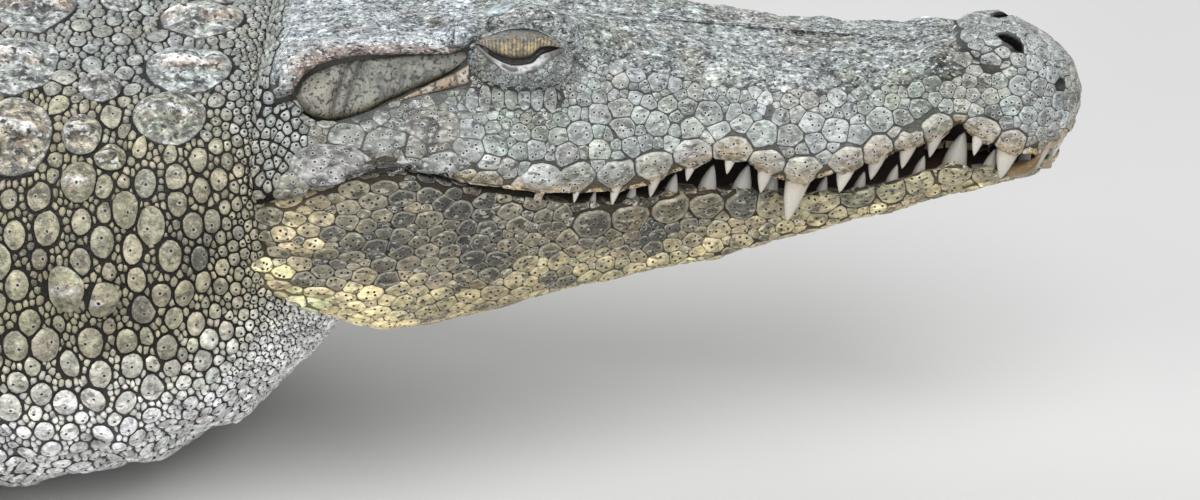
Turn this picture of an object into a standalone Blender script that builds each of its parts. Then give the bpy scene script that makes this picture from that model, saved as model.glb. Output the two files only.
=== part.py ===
"""Saltwater crocodile, life size, resting on its belly with its head held level: a still museum model.

Metres, +Z up, +X towards the snout, +Y to the animal's left. Every part is placed along one spine,
by s, its distance behind the snout tip. The floor is z = 0. The origin is the middle of the footprint.
"""

import math

import bmesh
import bpy
import numpy as np
from mathutils import Matrix, Vector

# Driving sizes
TOTAL_LENGTH = 3.0
MOUTH_HEIGHT = 0.208  # the corner of the mouth above the floor
PARTING = 0.0003  # the cut between two neighbouring pieces
TAIL_START = 1.46
TAIL_SWING = math.radians(36)  # how far the tail's curve turns from the body's line
TAIL_CURVE = 1.4 * math.pi  # just over half a wave, so the tip swings back

# Where the body is parted, behind the snout tip
NECK_END = 0.70
TRUNK_END = 1.47
TAIL_CUTS = (1.96, 2.466)  # each on a joint between two rows of keels
NECK_ROOT = 0.362  # the neck starts hidden inside the head

# The head's lines, from snout to nape: (s, half-width, height over the mouth's corner)
CREST = (
    (0.000, 0, 0.013), (0.006, 0, 0.028), (0.020, 0, 0.038), (0.040, 0, 0.046), (0.060, 0, 0.0465),
    (0.080, 0, 0.043), (0.102, 0, 0.041), (0.149, 0, 0.043), (0.205, 0, 0.049), (0.256, 0, 0.056),
    (0.297, 0, 0.0605), (0.347, 0, 0.0610), (0.407, 0, 0.0620), (0.437, 0, 0.0560), (0.447, 0, 0.0450),
)
BROW = (
    (0.000, 0.004, 0.011), (0.006, 0.012, 0.023), (0.020, 0.020, 0.035), (0.043, 0.025, 0.0430),
    (0.072, 0.024, 0.040), (0.102, 0.026, 0.037), (0.153, 0.032, 0.038), (0.205, 0.034, 0.045),
    (0.256, 0.037, 0.057), (0.281, 0.043, 0.071), (0.307, 0.046, 0.082), (0.332, 0.046, 0.074),
    (0.352, 0.046, 0.063), (0.397, 0.053, 0.062), (0.427, 0.060, 0.059), (0.447, 0.062, 0.042),
)
TEMPLE = (
    (0.000, 0.007, 0.006), (0.006, 0.018, 0.012), (0.020, 0.031, 0.021), (0.043, 0.038, 0.025),
    (0.072, 0.034, 0.024), (0.102, 0.040, 0.021), (0.153, 0.050, 0.018), (0.205, 0.051, 0.024),
    (0.256, 0.056, 0.034), (0.307, 0.061, 0.050), (0.332, 0.061, 0.049), (0.352, 0.061, 0.047),
    (0.397, 0.075, 0.041), (0.427, 0.085, 0.035), (0.447, 0.086, 0.026),
)
CHEEK = (
    (0.000, 0.006, 0.000), (0.006, 0.019, -0.001), (0.020, 0.035, 0.003), (0.043, 0.0455, 0.004),
    (0.070, 0.0400, 0.014), (0.102, 0.048, 0.005), (0.159, 0.0625, 0.000), (0.205, 0.0600, 0.009),
    (0.256, 0.0740, 0.006), (0.307, 0.0880, 0.013), (0.352, 0.1010, 0.019), (0.397, 0.1110, 0.017),
    (0.427, 0.1160, 0.012), (0.447, 0.1140, 0.009),
)
LIP = (
    (0.000, 0.004, -0.004), (0.006, 0.016, -0.0105), (0.020, 0.032, -0.0135), (0.043, 0.043, -0.0070),
    (0.061, 0.0400, 0.0000), (0.070, 0.0385, 0.0060), (0.078, 0.0400, 0.0000), (0.113, 0.050, -0.0080),
    (0.161, 0.0610, -0.0170), (0.196, 0.0585, -0.0030), (0.251, 0.0720, -0.0160), (0.292, 0.0840, -0.0110),
    (0.334, 0.0965, 0.0010), (0.379, 0.1080, 0.0170), (0.412, 0.1130, 0.0080), (0.447, 0.1120, -0.0040),
)

# The lower jaw's lines
JAW_START = 0.009
JAW_RIM = (
    (0.009, 0.005, -0.027), (0.014, 0.014, -0.026), (0.031, 0.028, -0.0250), (0.058, 0.0355, -0.0240),
    (0.072, 0.0360, -0.0220), (0.108, 0.0430, -0.0290), (0.144, 0.0475, -0.0330), (0.172, 0.0490, -0.0320),
    (0.210, 0.0550, -0.0265), (0.266, 0.0755, -0.0235), (0.307, 0.0890, -0.0120), (0.334, 0.0980, -0.0020),
    (0.379, 0.1090, 0.0160), (0.437, 0.1120, 0.0000), (0.459, 0.1060, -0.0120), (0.471, 0.092, -0.0300),
)
JAW_SIDE = (
    (0.009, 0.006, -0.029), (0.014, 0.013, -0.031), (0.031, 0.026, -0.0335), (0.072, 0.0345, -0.0345),
    (0.108, 0.0410, -0.0420), (0.172, 0.0480, -0.0480), (0.210, 0.0550, -0.0500), (0.266, 0.0730, -0.0520),
    (0.334, 0.0970, -0.0480), (0.379, 0.1100, -0.0440), (0.437, 0.1160, -0.0380), (0.459, 0.1090, -0.0350),
    (0.471, 0.0930, -0.0350),
)
JAW_EDGE = (
    (0.009, 0.004, -0.031), (0.014, 0.008, -0.036), (0.031, 0.017, -0.0400), (0.072, 0.0260, -0.0460),
    (0.108, 0.0320, -0.0530), (0.172, 0.0430, -0.0660), (0.210, 0.0490, -0.0735), (0.266, 0.0620, -0.0800),
    (0.334, 0.0810, -0.0880), (0.379, 0.0910, -0.0930), (0.417, 0.1000, -0.0760), (0.447, 0.1040, -0.0560),
    (0.471, 0.0900, -0.0400),
)
THROAT = (
    (0.009, 0, -0.032), (0.014, 0, -0.037), (0.031, 0, -0.0410), (0.072, 0, -0.0470), (0.108, 0, -0.0530),
    (0.172, 0, -0.0640), (0.210, 0, -0.0700), (0.266, 0, -0.0750), (0.334, 0, -0.0820), (0.379, 0, -0.0860),
    (0.417, 0, -0.0740), (0.447, 0, -0.0560), (0.471, 0, -0.0420),
)

# Neck, trunk and tail: (s, half-width, top, bottom, height of the widest line), over the floor
BODY = (
    (0.362, 0.055, 0.225, 0.140, 0.185), (0.407, 0.092, 0.240, 0.090, 0.172),
    (0.442, 0.112, 0.2450, 0.050, 0.164), (0.477, 0.130, 0.2460, 0.020, 0.152),
    (0.527, 0.148, 0.2480, 0.001, 0.134), (0.590, 0.157, 0.2520, -0.004, 0.122),
    (0.700, 0.169, 0.2600, -0.009, 0.114), (0.820, 0.196, 0.2680, -0.010, 0.112),
    (0.980, 0.214, 0.2720, -0.010, 0.110), (1.120, 0.212, 0.2670, -0.010, 0.108),
    (1.260, 0.188, 0.2520, -0.010, 0.106), (1.380, 0.156, 0.2300, -0.009, 0.100),
    (1.500, 0.126, 0.2050, -0.008, 0.092), (1.700, 0.098, 0.1720, -0.007, 0.078),
    (2.000, 0.068, 0.1380, -0.006, 0.064), (2.400, 0.040, 0.0980, -0.005, 0.046),
    (2.750, 0.0200, 0.0600, -0.003, 0.029), (3.000, 0.0035, 0.0220, 0.000, 0.010),
)
ROUND, FLAT, SQUARE = 2.0, 2.3, 2.8  # superellipse powers, from an ellipse to a flatter and a squarer section
NECK_ROUND, TRUNK_SQUARE = 0.50, 0.95  # between these the top turns from square to flat, the bottom from round
TAIL_ROUND = 1.90  # from here the section is an ellipse again, top and bottom

# Eyes behind nearly closed lids, and ear flaps under the edge of the skull's table
EYE_AT = (0.308, 0.0520, 0.0530)
EYE_RADIUS = 0.0160
LID_SIZE = (0.0290, 0.0205, 0.0195)  # half-length, half-width, half-height of the domed lids
SLIT_SIZE = (0.0215, 0.0150, 0.0042)  # half-length, half-depth, half-height of their opening
SLIT_TILT = math.radians(38)  # the opening looks up and out
EAR_REACH = ((0.353, 2.9), (0.428, 3.9))  # front and rear: (s, steps down the side of the head)
EAR_SIZE = (0.0035, 0.0115)  # half-thickness and half-height

# Teeth: (s, length); they stand along the lip and the rim
UPPER_TEETH = (
    (0.013, 0.008), (0.022, 0.010), (0.041, 0.017), (0.058, 0.010), (0.082, 0.011), (0.097, 0.012),
    (0.114, 0.013), (0.131, 0.014), (0.157, 0.024), (0.175, 0.012), (0.194, 0.010), (0.216, 0.009),
    (0.236, 0.009), (0.257, 0.008), (0.278, 0.006), (0.297, 0.005),
)
LOWER_TEETH = (
    (0.018, 0.012), (0.031, 0.010), (0.051, 0.010), (0.070, 0.018), (0.090, 0.009), (0.105, 0.009),
    (0.123, 0.009), (0.144, 0.009), (0.172, 0.011), (0.188, 0.014), (0.207, 0.013), (0.227, 0.010),
    (0.249, 0.008), (0.270, 0.006),
)
TOOTH_STOUTNESS = 0.25  # radius at the root over length
TOOTH_ROOT = 0.005  # buried in the jaw
TOOTH_RAKE = 0.10  # the upper row leans back, the lower one forward
TOOTH_SIDES = 5
BIG_TOOTH_RADIUS = 0.0035  # from here a tooth shows its curve

# Limbs: the joints' places and radii, for the right side, as (s, half-width, height) and (across, through)
FORE_LIMB = {
    "pieces": ("upper_arm", "forearm", "hand"),
    "joints": ((0.765, 0.090, 0.118), (0.870, 0.268, 0.098), (0.770, 0.345, 0.040), (0.705, 0.378, 0.010)),
    "radii": ((0.058, 0.052), (0.042, 0.044), (0.031, 0.026), (0.038, 0.012)),
    "digits": (
        (-38, 0.052, True), (-18, 0.066, True), (2, 0.072, True), (22, 0.064, False), (44, 0.050, False),
    ),
    "digit_radius": 0.0125,
    "web": 0.35,
}
HIND_LIMB = {
    "pieces": ("thigh", "shank", "foot"),
    "joints": ((1.335, 0.040, 0.106), (1.235, 0.275, 0.105), (1.410, 0.325, 0.045), (1.310, 0.385, 0.012)),
    "radii": ((0.080, 0.074), (0.051, 0.055), (0.036, 0.031), (0.046, 0.014)),
    "digits": ((-30, 0.084, True), (-10, 0.108, True), (10, 0.112, True), (30, 0.092, False)),
    "digit_radius": 0.0150,
    "web": 0.80,
}
LEFT_SHIFT = {"hand": 0.045, "foot": -0.040}  # the left feet stand a little further back or forward
CLAW_LENGTH = 0.020
TOE_OVERLAP = 0.022  # how far a toe starts back inside the foot
TOE_FAN = 0.014  # how far the toes' roots spread apart
WEB_THICKNESS = 0.0035
LIMB_SWELL = 0.17  # how far the muscle bulges between two joints
LIMB_SIDES = 10
DIGIT_TAPER = 0.30
BALL_TAPER = 0.80  # a foot narrows where its toes begin

# Crest of the tail: paired keels that meet in one row
CREST_PITCH = 0.046
CREST_PAIRS_FROM, CREST_SINGLE_FROM, CREST_END = 1.50, 2.18, 2.97
CREST_TALLEST = 0.046
CREST_THICKNESS = 0.0075
CREST_ROOT = 0.022  # how deep a keel is rooted in the tail


# ---------------------------------------------------------------- lines and sections


def along(stations, column, s):
    """One column of a table of stations at s, on a smooth curve that never overshoots them."""
    xs = [row[0] for row in stations]
    ys = [row[column] for row in stations]
    s = min(max(s, xs[0]), xs[-1])
    i = min(max(int(np.searchsorted(xs, s, side="right")) - 1, 0), len(xs) - 2)

    def slope(k):
        if k == 0 or k == len(xs) - 1:
            j = 0 if k == 0 else len(xs) - 2
            return (ys[j + 1] - ys[j]) / (xs[j + 1] - xs[j])
        before = (ys[k] - ys[k - 1]) / (xs[k] - xs[k - 1])
        after = (ys[k + 1] - ys[k]) / (xs[k + 1] - xs[k])
        return 0.0 if before * after <= 0 else 2 * before * after / (before + after)

    gap = xs[i + 1] - xs[i]
    t = (s - xs[i]) / gap
    return (
        (2 * t**3 - 3 * t**2 + 1) * ys[i] + (t**3 - 2 * t**2 + t) * gap * slope(i)
        + (3 * t**2 - 2 * t**3) * ys[i + 1] + (t**3 - t**2) * gap * slope(i + 1)
    )


def spline(points, t, arched=False):
    """The point at t, from 0 to 1, on a Catmull-Rom curve through 2-D points, arched over the middle or not."""
    points = [Vector(p) for p in points]
    run = t * (len(points) - 1)
    i = min(int(run), len(points) - 2)
    t = run - i
    if i:
        before = points[i - 1]
    else:
        before = Vector((-points[1].x, points[1].y)) if arched else 2 * points[0] - points[1]
    after = points[i + 2] if i + 2 < len(points) else 2 * points[-1] - points[-2]
    p, q = points[i], points[i + 1]
    return (
        2 * p + (q - before) * t + (2 * before - 5 * p + 4 * q - after) * t**2
        + (3 * p - before - 3 * q + after) * t**3
    ) / 2


SPINE_STEP = 0.002


def spine_table():
    """The spine in the ground plane, every SPINE_STEP: straight to the tail, then one slow wave."""
    x, y, table = 0.0, 0.0, []
    for i in range(int(TOTAL_LENGTH / SPINE_STEP) + 2):
        s = i * SPINE_STEP
        wave = max(0.0, (s - TAIL_START) / (TOTAL_LENGTH - TAIL_START))
        heading = TAIL_SWING * math.sin(TAIL_CURVE * wave) * min(1.0, 3 * wave)
        table.append((x, y, heading))
        x -= SPINE_STEP * math.cos(heading)
        y += SPINE_STEP * math.sin(heading)
    return table


SPINE = spine_table()


def place(s, side, height):
    """The world point at s along the spine, side to the animal's left, and height over the floor."""
    i = min(max(int(s / SPINE_STEP), 0), len(SPINE) - 2)
    t = s / SPINE_STEP - i
    x, y, heading = (a + (b - a) * t for a, b in zip(SPINE[i], SPINE[i + 1]))
    return Vector((x + side * math.sin(heading), y + side * math.cos(heading), height))


def head_place(s, side, height):
    return place(s, side, height + MOUTH_HEIGHT)


# ---------------------------------------------------------------- mesh tools


def finish_mesh(mesh, name, material):
    bmesh.ops.recalc_face_normals(mesh, faces=mesh.faces)
    if mesh.calc_volume(signed=True) < 0:
        bmesh.ops.reverse_faces(mesh, faces=mesh.faces)
    bmesh.ops.triangulate(mesh, faces=mesh.faces)
    data = bpy.data.meshes.new(name)
    mesh.to_mesh(data)
    mesh.free()
    data.materials.append(material)
    data.shade_smooth()
    data.set_sharp_from_angle(angle=math.radians(50))
    piece = bpy.data.objects.new(name, data)
    bpy.context.scene.collection.objects.link(piece)
    piece.parent = FRAME
    return piece


def wrap(mesh, form, rings, sides):
    """Adds a closed tube to a mesh: form(u, v) gives its points, u from 0 to 1 along and v once around."""
    made = bmesh.ops.create_grid(mesh, x_segments=rings, y_segments=sides, size=0.5)["verts"]
    for vert in made:
        vert.co = form(vert.co.x + 0.5, vert.co.y + 0.5)
    kept = set(bmesh.ops.find_doubles(mesh, verts=made, dist=1e-6)["targetmap"])
    bmesh.ops.remove_doubles(mesh, verts=made, dist=1e-6)
    rim = {e for v in made if v not in kept and v.is_valid for e in v.link_edges if e.is_boundary}
    bmesh.ops.holes_fill(mesh, edges=list(rim))


def tube(name, form, rings, sides, material):
    mesh = bmesh.new()
    wrap(mesh, form, rings, sides)
    return finish_mesh(mesh, name, material)


def change(piece, operation, other):
    """A Boolean of a piece with another object, which is then only a helper."""
    step = piece.modifiers.new(f"{operation.lower()}_{other.name}", "BOOLEAN")
    step.operation = operation
    step.solver = "EXACT"
    step.object = other
    other.hide_render = True
    other.display_type = "WIRE"


def room(piece, gap=PARTING):
    """A helper: a piece's own shape before its Booleans, swollen by a gap, to cut a neighbour with."""
    mesh = bmesh.new()
    mesh.from_mesh(piece.data)
    mesh.normal_update()
    steps = [(vert, vert.normal * vert.calc_shell_factor() * gap) for vert in mesh.verts]
    for vert, step in steps:
        vert.co += step
    return finish_mesh(mesh, f"{piece.name}_room", piece.data.materials[0])


def paint(name, colour, roughness):
    material = bpy.data.materials.new(name)
    material.use_nodes = True
    shader = material.node_tree.nodes["Principled BSDF"]
    shader.inputs["Base Color"].default_value = (*colour, 1)
    shader.inputs["Roughness"].default_value = roughness
    return material


# ---------------------------------------------------------------- head and jaw

HEAD_TOP_SIDES, HEAD_SIDES = 8, 11  # steps from crest to lip, and on to the middle of the palate
PALATE_RISE = 0.012
LIP_THICKNESS = 0.004
JAW_TOP_SIDES, JAW_FLANK_SIDES = 2, 7


def mirrored(v, steps):
    """Turns v, once around a section, into (steps down one side, sign of that side)."""
    run = v * 2 * steps
    return (run, 1) if run <= steps else (2 * steps - run, -1)


def head_section(s, run):
    """Half-width and height of the head, run steps down its side from the crest: the lip, then the palate."""
    half = [Vector((along(line, 1, s), along(line, 2, s))) for line in (CREST, BROW, TEMPLE, CHEEK, LIP)]
    if run <= HEAD_TOP_SIDES:
        point = spline(half, run / HEAD_TOP_SIDES, arched=True)
    else:
        lip = half[-1]
        inner = Vector((max(lip.x - LIP_THICKNESS, lip.x * 0.7), lip.y + 0.2 * PALATE_RISE))
        middle = Vector((0, min(lip.y + PALATE_RISE, half[0].y * 0.5 + lip.y * 0.5)))
        steps = HEAD_SIDES - HEAD_TOP_SIDES
        t = (run - HEAD_TOP_SIDES) / steps
        point = lip.lerp(inner, 3 * t) if t < 1 / 3 else inner.lerp(middle, (3 * t - 1) / 2)
    return point


def head_form(u, v):
    """The skull and upper jaw, with its rings closer together towards the snout."""
    s = CREST[-1][0] * u**1.35
    run, side = mirrored(v, HEAD_SIDES)
    point = head_section(s, run)
    return head_place(s, side * point.x, point.y)


def jaw_form(u, v):
    """The lower jaw with the throat between its branches."""
    first, last = JAW_START, JAW_RIM[-1][0]
    s = first + (last - first) * (0.5 - 0.5 * math.cos(math.pi * u)) ** 0.9
    run, side = mirrored(v, JAW_TOP_SIDES + JAW_FLANK_SIDES)
    rim, flank, edge, low = (
        Vector((along(line, 1, s), along(line, 2, s))) for line in (JAW_RIM, JAW_SIDE, JAW_EDGE, THROAT)
    )
    if run <= JAW_TOP_SIDES:
        point = Vector((0, rim.y - 0.003)).lerp(rim, run / JAW_TOP_SIDES)
    else:
        point = spline([rim, flank, edge, low], (run - JAW_TOP_SIDES) / JAW_FLANK_SIDES)
    return head_place(s, side * max(point.x, 0), point.y)


def tooth(mesh, root, tip, radius):
    """A slightly curved cone from a buried root to its tip."""
    bend = (tip - root).normalized().cross(Vector((0, 0, 1))).cross(tip - root) * 0.10

    def form(u, v):
        centre = root.lerp(tip, u) + bend * math.sin(math.pi * u)
        across = (tip - root).orthogonal().normalized()
        turned = Matrix.Rotation(2 * math.pi * v, 3, (tip - root).normalized()) @ across
        return centre + turned * radius * (1 - u**1.6) ** 0.9

    wrap(mesh, form, 2 if radius > BIG_TOOTH_RADIUS else 1, TOOTH_SIDES)


def tooth_row(name, teeth, line, way, lean, inset, material):
    """Both sides' teeth: way is -1 for the upper row, which hangs, and 1 for the lower, which stands."""
    mesh = bmesh.new()
    for s, length in teeth:
        for side in (1, -1):
            width = along(line, 1, s) - inset
            rim = head_place(s, side * width, along(line, 2, s) - way * 0.001)
            axis = Vector((TOOTH_RAKE * way, side * lean, way)).normalized()
            root = rim - axis * TOOTH_ROOT
            tooth(mesh, root, rim + axis * length, length * TOOTH_STOUTNESS)
    return finish_mesh(mesh, name, material)


def build_head():
    """Head and lower jaw with their teeth, the eyes and the ear flaps. Returns the rooms that they need."""
    head = tube("head", head_form, 21, 2 * HEAD_SIDES, HIDE)
    head_room = room(head, 2 * PARTING)
    upper_teeth = tooth_row("upper_teeth", UPPER_TEETH, LIP, -1, 0.12, 0.0022, IVORY)
    change(head, "UNION", upper_teeth)
    for side, label in ((-1, "right"), (1, "left")):
        set_eye(head, side, label)
        set_ear(head, side, label)
    jaw = tube("lower_jaw", jaw_form, 17, 2 * (JAW_TOP_SIDES + JAW_FLANK_SIDES), PALE_HIDE)
    jaw_room = room(jaw)
    change(jaw, "UNION", tooth_row("lower_teeth", LOWER_TEETH, JAW_RIM, 1, 0.10, 0.0035, IVORY))
    for helper in (head_room, room(upper_teeth, 2 * PARTING)):
        change(jaw, "DIFFERENCE", helper)
    return head_room, jaw_room


def set_eye(head, side, label):
    """An eyeball deep in the head, under domed lids with a narrow opening."""
    centre = head_place(EYE_AT[0], side * EYE_AT[1], EYE_AT[2])
    change(head, "UNION", ball(f"lids_{label}", centre, LID_SIZE, HIDE))
    eye = ball(f"eye_{label}", centre, (EYE_RADIUS,) * 3, GLOSS)
    change(head, "DIFFERENCE", room(eye))
    look = Matrix.Rotation(side * SLIT_TILT, 3, "X")
    outward = look @ Vector((0, side, 0))
    change(head, "DIFFERENCE", ball(f"slit_{label}", centre + outward * EYE_RADIUS, SLIT_SIZE, HIDE, look))


def set_ear(head, side, label):
    """An ear flap: a long flat lobe that lies on the head, under the edge of the skull's table."""
    (front, high), (rear, low) = EAR_REACH
    ends = []
    for s, run in ((front, high), (rear, low)):
        point = head_section(s, run)
        ends.append(head_place(s, side * point.x, point.y))
    middle = (ends[0] + ends[1]) / 2
    lengthwise = (ends[0] - ends[1]).normalized()
    below = head_section((front + rear) / 2, (high + low) / 2 + 0.5)
    above = head_section((front + rear) / 2, (high + low) / 2 - 0.5)
    upward = Vector((0, side * (above.x - below.x), above.y - below.y))
    outward = upward.cross(lengthwise).normalized()
    if outward.z < 0:
        outward.negate()
    turn = Matrix((lengthwise, outward, lengthwise.cross(outward))).transposed()
    ear = ball(f"ear_{label}", middle, ((ends[0] - ends[1]).length / 2, *EAR_SIZE), HIDE, turn)
    change(head, "DIFFERENCE", room(ear))


def ball(name, centre, radii, material, turn=None):
    mesh = bmesh.new()
    bmesh.ops.create_uvsphere(mesh, u_segments=10, v_segments=6, radius=1)
    bmesh.ops.scale(mesh, vec=radii, verts=mesh.verts)
    if turn:
        bmesh.ops.rotate(mesh, matrix=turn, verts=mesh.verts)
    bmesh.ops.translate(mesh, vec=centre, verts=mesh.verts)
    return finish_mesh(mesh, name, material)


# ---------------------------------------------------------------- neck, trunk and tail

BODY_SIDES, TAIL_SIDES = 22, 16


def blend(a, b, s, start, end):
    """From a to b as s goes from start to end, and level outside them."""
    return a + (b - a) * min(max((s - start) / (end - start), 0.0), 1.0)


def body_form(s, v):
    """A section of the body: a superellipse whose power changes along it, flat where it lies on the floor."""
    half, top, low, wide = (along(BODY, column, s) for column in (1, 2, 3, 4))
    angle = 2 * math.pi * v
    up, out = math.cos(angle), math.sin(angle)
    front, back = (SQUARE, FLAT) if up > 0 else (ROUND, SQUARE)
    power = blend(front, back, s, NECK_ROUND, TRUNK_SQUARE)
    power = blend(power, ROUND, s, TRUNK_END, TAIL_ROUND)
    side = math.copysign(abs(out) ** (2 / power), out) * half
    reach = abs(up) ** (2 / power)
    height = wide + (top - wide) * reach if up > 0 else wide - (wide - low) * reach
    return place(s, side, max(height, 0.0))


def body_length(name, start, end, rings, material, sides=BODY_SIDES):
    return tube(name, lambda u, v: body_form(start + (end - start) * u, v), rings, sides, material)


def crest_height(s):
    """How far the tail's keels stand up at s."""
    rise = min(1.0, (s - CREST_PAIRS_FROM + 0.08) / 0.45)
    fall = min(1.0, (CREST_END - s + 0.25) / 0.75)
    return CREST_TALLEST * rise * fall


def crest_blade(mesh, s, side):
    """One upright keel of the tail: a thin fin that leans back."""
    height = crest_height(s)
    base = along(BODY, 2, s + CREST_PITCH / 2)
    foot = CREST_ROOT
    outline = ((0.04, -foot), (0.96, -foot), (1.02, height), (0.48, 0.66 * height))

    def form(u, v):
        a, b = outline[int(round(v * len(outline))) % len(outline)]
        lean = (u - 0.5) * CREST_THICKNESS * (1 if b <= 0 else 0.45)
        spread = side + math.copysign(0.25 * max(b, 0), side) if side else 0
        return place(s + a * CREST_PITCH, spread + lean, base + b)

    wrap(mesh, form, 1, len(outline))


def tail_crest(name, start, end):
    """The keels of one length of tail, as a helper to join to it."""
    mesh = bmesh.new()
    count = int((CREST_END - CREST_PAIRS_FROM) / CREST_PITCH)
    for i in range(count):
        s = CREST_PAIRS_FROM + i * CREST_PITCH
        if not start <= s + PARTING < end - PARTING:
            continue
        if s < CREST_SINGLE_FROM:
            gap = 0.72 * along(BODY, 1, s) * (CREST_SINGLE_FROM - s) / (CREST_SINGLE_FROM - CREST_PAIRS_FROM)
            gap = max(0.40 * gap + 0.010, 0.0095)
            crest_blade(mesh, s, gap)
            crest_blade(mesh, s, -gap)
        else:
            crest_blade(mesh, s, 0)
    return finish_mesh(mesh, name, HIDE)


def build_body(head_rooms):
    """The neck behind the head, the trunk and three lengths of tail. Returns the room the trunk needs."""
    cut = PARTING / 2
    neck = body_length("neck", NECK_ROOT, NECK_END - cut, 9, HIDE)
    for helper in head_rooms:
        change(neck, "DIFFERENCE", helper)
    trunk = body_length("trunk", NECK_END + cut, TRUNK_END - cut, 12, HIDE)
    ends = (TRUNK_END, *TAIL_CUTS, TOTAL_LENGTH)
    for label, start, end, rings in zip(("tail_base", "tail_middle", "tail_end"), ends, ends[1:], (8, 7, 7)):
        last = end if end == TOTAL_LENGTH else end - cut
        length = body_length(label, start + cut, last, rings, HIDE, TAIL_SIDES)
        change(length, "UNION", tail_crest(f"{label}_crest", start, end))
    return room(trunk)


# ---------------------------------------------------------------- limbs


def limb_frame(points, i):
    """The directions along, across and through a limb at joint i, square to the bend's middle line."""
    p = points[i]
    after = (points[i + 1] - p).normalized() if i + 1 < len(points) else Vector()
    before = (p - points[i - 1]).normalized() if i else Vector()
    run = (after + before).normalized()
    flat = Vector((0, 0, 1)).cross(run).normalized()
    return run, flat, run.cross(flat).normalized()


def limb_form(points, radii, i, u, v):
    """A point of the limb's skin between joints i and i + 1, kept on its own side of both joints' planes."""
    p, q = points[i], points[i + 1]
    (run_p, flat_p, through_p), (run_q, flat_q, through_q) = limb_frame(points, i), limb_frame(points, i + 1)
    flat = flat_p.lerp(flat_q, u).normalized()
    through = through_p.lerp(through_q, u).normalized()
    swell = 1 + LIMB_SWELL * math.sin(math.pi * u)
    wide = (radii[i][0] + (radii[i + 1][0] - radii[i][0]) * u) * swell
    deep = (radii[i][1] + (radii[i + 1][1] - radii[i][1]) * u) * swell
    angle = 2 * math.pi * v
    point = p.lerp(q, u) + flat * wide * math.cos(angle) + through * deep * math.sin(angle)
    if i:
        point += run_p * max(0.0, PARTING / 2 - (point - p).dot(run_p))
    if i + 2 < len(points):
        point -= run_q * max(0.0, PARTING / 2 + (point - q).dot(run_q))
    elif u > 0.99:
        point = q + (point - q) * BALL_TAPER
    point.z = max(point.z, 0.0)
    return point


def digit(mesh, root, aim, length, radius):
    """A toe: a tapered tube that lies on the floor and rises to its root."""

    def form(u, v):
        angle = 2 * math.pi * v
        side = Vector((0, 0, 1)).cross(aim).normalized()
        swell = radius * (1 - DIGIT_TAPER * u) * (0.60 if u > 0.99 else 1)
        centre = root + aim * length * u
        centre.z = 0.85 * radius * (1 - DIGIT_TAPER * u)
        point = centre + side * swell * math.cos(angle) + Vector((0, 0, swell)) * math.sin(angle)
        point.z = max(point.z, 0.0)
        return point

    wrap(mesh, form, 2, 6)


def claw(mesh, root, aim, radius):
    def form(u, v):
        angle = 2 * math.pi * v
        side = Vector((0, 0, 1)).cross(aim).normalized()
        thick = radius * 0.62 * (1 - u) ** 0.7
        centre = root + aim * CLAW_LENGTH * u
        centre.z = radius * (0.95 - 0.60 * u * u)
        return centre + side * thick * 0.7 * math.cos(angle) + Vector((0, 0, thick)) * math.sin(angle)

    wrap(mesh, form, 1, 5)


def toes(name, ankle, ball_point, limb):
    """All the digits of one foot, each its own tube, as helpers to join to it."""
    aim = ball_point - ankle
    aim.z = 0
    aim.normalize()
    out = -1 if ball_point.y < 0 else 1
    helpers = []
    radius = limb["digit_radius"]
    for k, (spread, length, clawed) in enumerate(limb["digits"]):
        way = Matrix.Rotation(math.radians(spread) * out, 3, "Z") @ aim
        root = ball_point + way * TOE_FAN - aim * TOE_OVERLAP
        reach = length + TOE_OVERLAP - TOE_FAN
        mesh = bmesh.new()
        digit(mesh, root, way, reach, radius)
        helpers.append(finish_mesh(mesh, f"{name}_toe_{k}", HIDE))
        if clawed:
            mesh = bmesh.new()
            claw(mesh, root + way * (reach - CLAW_LENGTH / 3), way, radius)
            helpers.append(finish_mesh(mesh, f"{name}_claw_{k}", HORN))
    helpers.append(web(f"{name}_web", ball_point, aim, out, limb))
    return helpers


def web(name, centre, aim, out, limb):
    """The skin between the toes: a thin fan that lies on the floor."""
    spreads = [math.radians(row[0]) for row in limb["digits"]]
    reaches = [row[1] * limb["web"] for row in limb["digits"]]

    def form(u, v):
        angle = spreads[0] + (spreads[-1] - spreads[0]) * u
        place_on = u * (len(spreads) - 1)
        i = min(int(place_on), len(spreads) - 2)
        between = place_on - i
        reach = reaches[i] + (reaches[i + 1] - reaches[i]) * between
        reach *= 1 - 0.22 * math.sin(math.pi * between)
        corner = int(round(v * 4)) % 4
        far = corner in (1, 2)
        height = WEB_THICKNESS if corner in (2, 3) else 0.0
        way = Matrix.Rotation(angle * out, 3, "Z") @ aim
        point = centre + way * (reach if far else 0.0) - aim * TOE_FAN
        point.z = height
        return point

    mesh = bmesh.new()
    wrap(mesh, form, 2 * (len(spreads) - 1), 4)
    return finish_mesh(mesh, name, HIDE)


def build_limb(limb, side, label, trunk_room):
    shift = LEFT_SHIFT[limb["pieces"][2]] if side > 0 else 0.0
    points = [place(s + shift * (i > 1), side * y, z) for i, (s, y, z) in enumerate(limb["joints"])]
    points[1].x -= shift / 2
    for i, piece_name in enumerate(limb["pieces"]):
        piece = tube(
            f"{piece_name}_{label}",
            lambda u, v, i=i: limb_form(points, limb["radii"], i, u, v),
            4 if i < 2 else 3, LIMB_SIDES, HIDE,
        )
        if i == 0:
            change(piece, "DIFFERENCE", trunk_room)
        if i == 2:
            for helper in toes(piece.name, points[2], points[3], limb):
                change(piece, "UNION", helper)


# ---------------------------------------------------------------- whole animal


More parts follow.
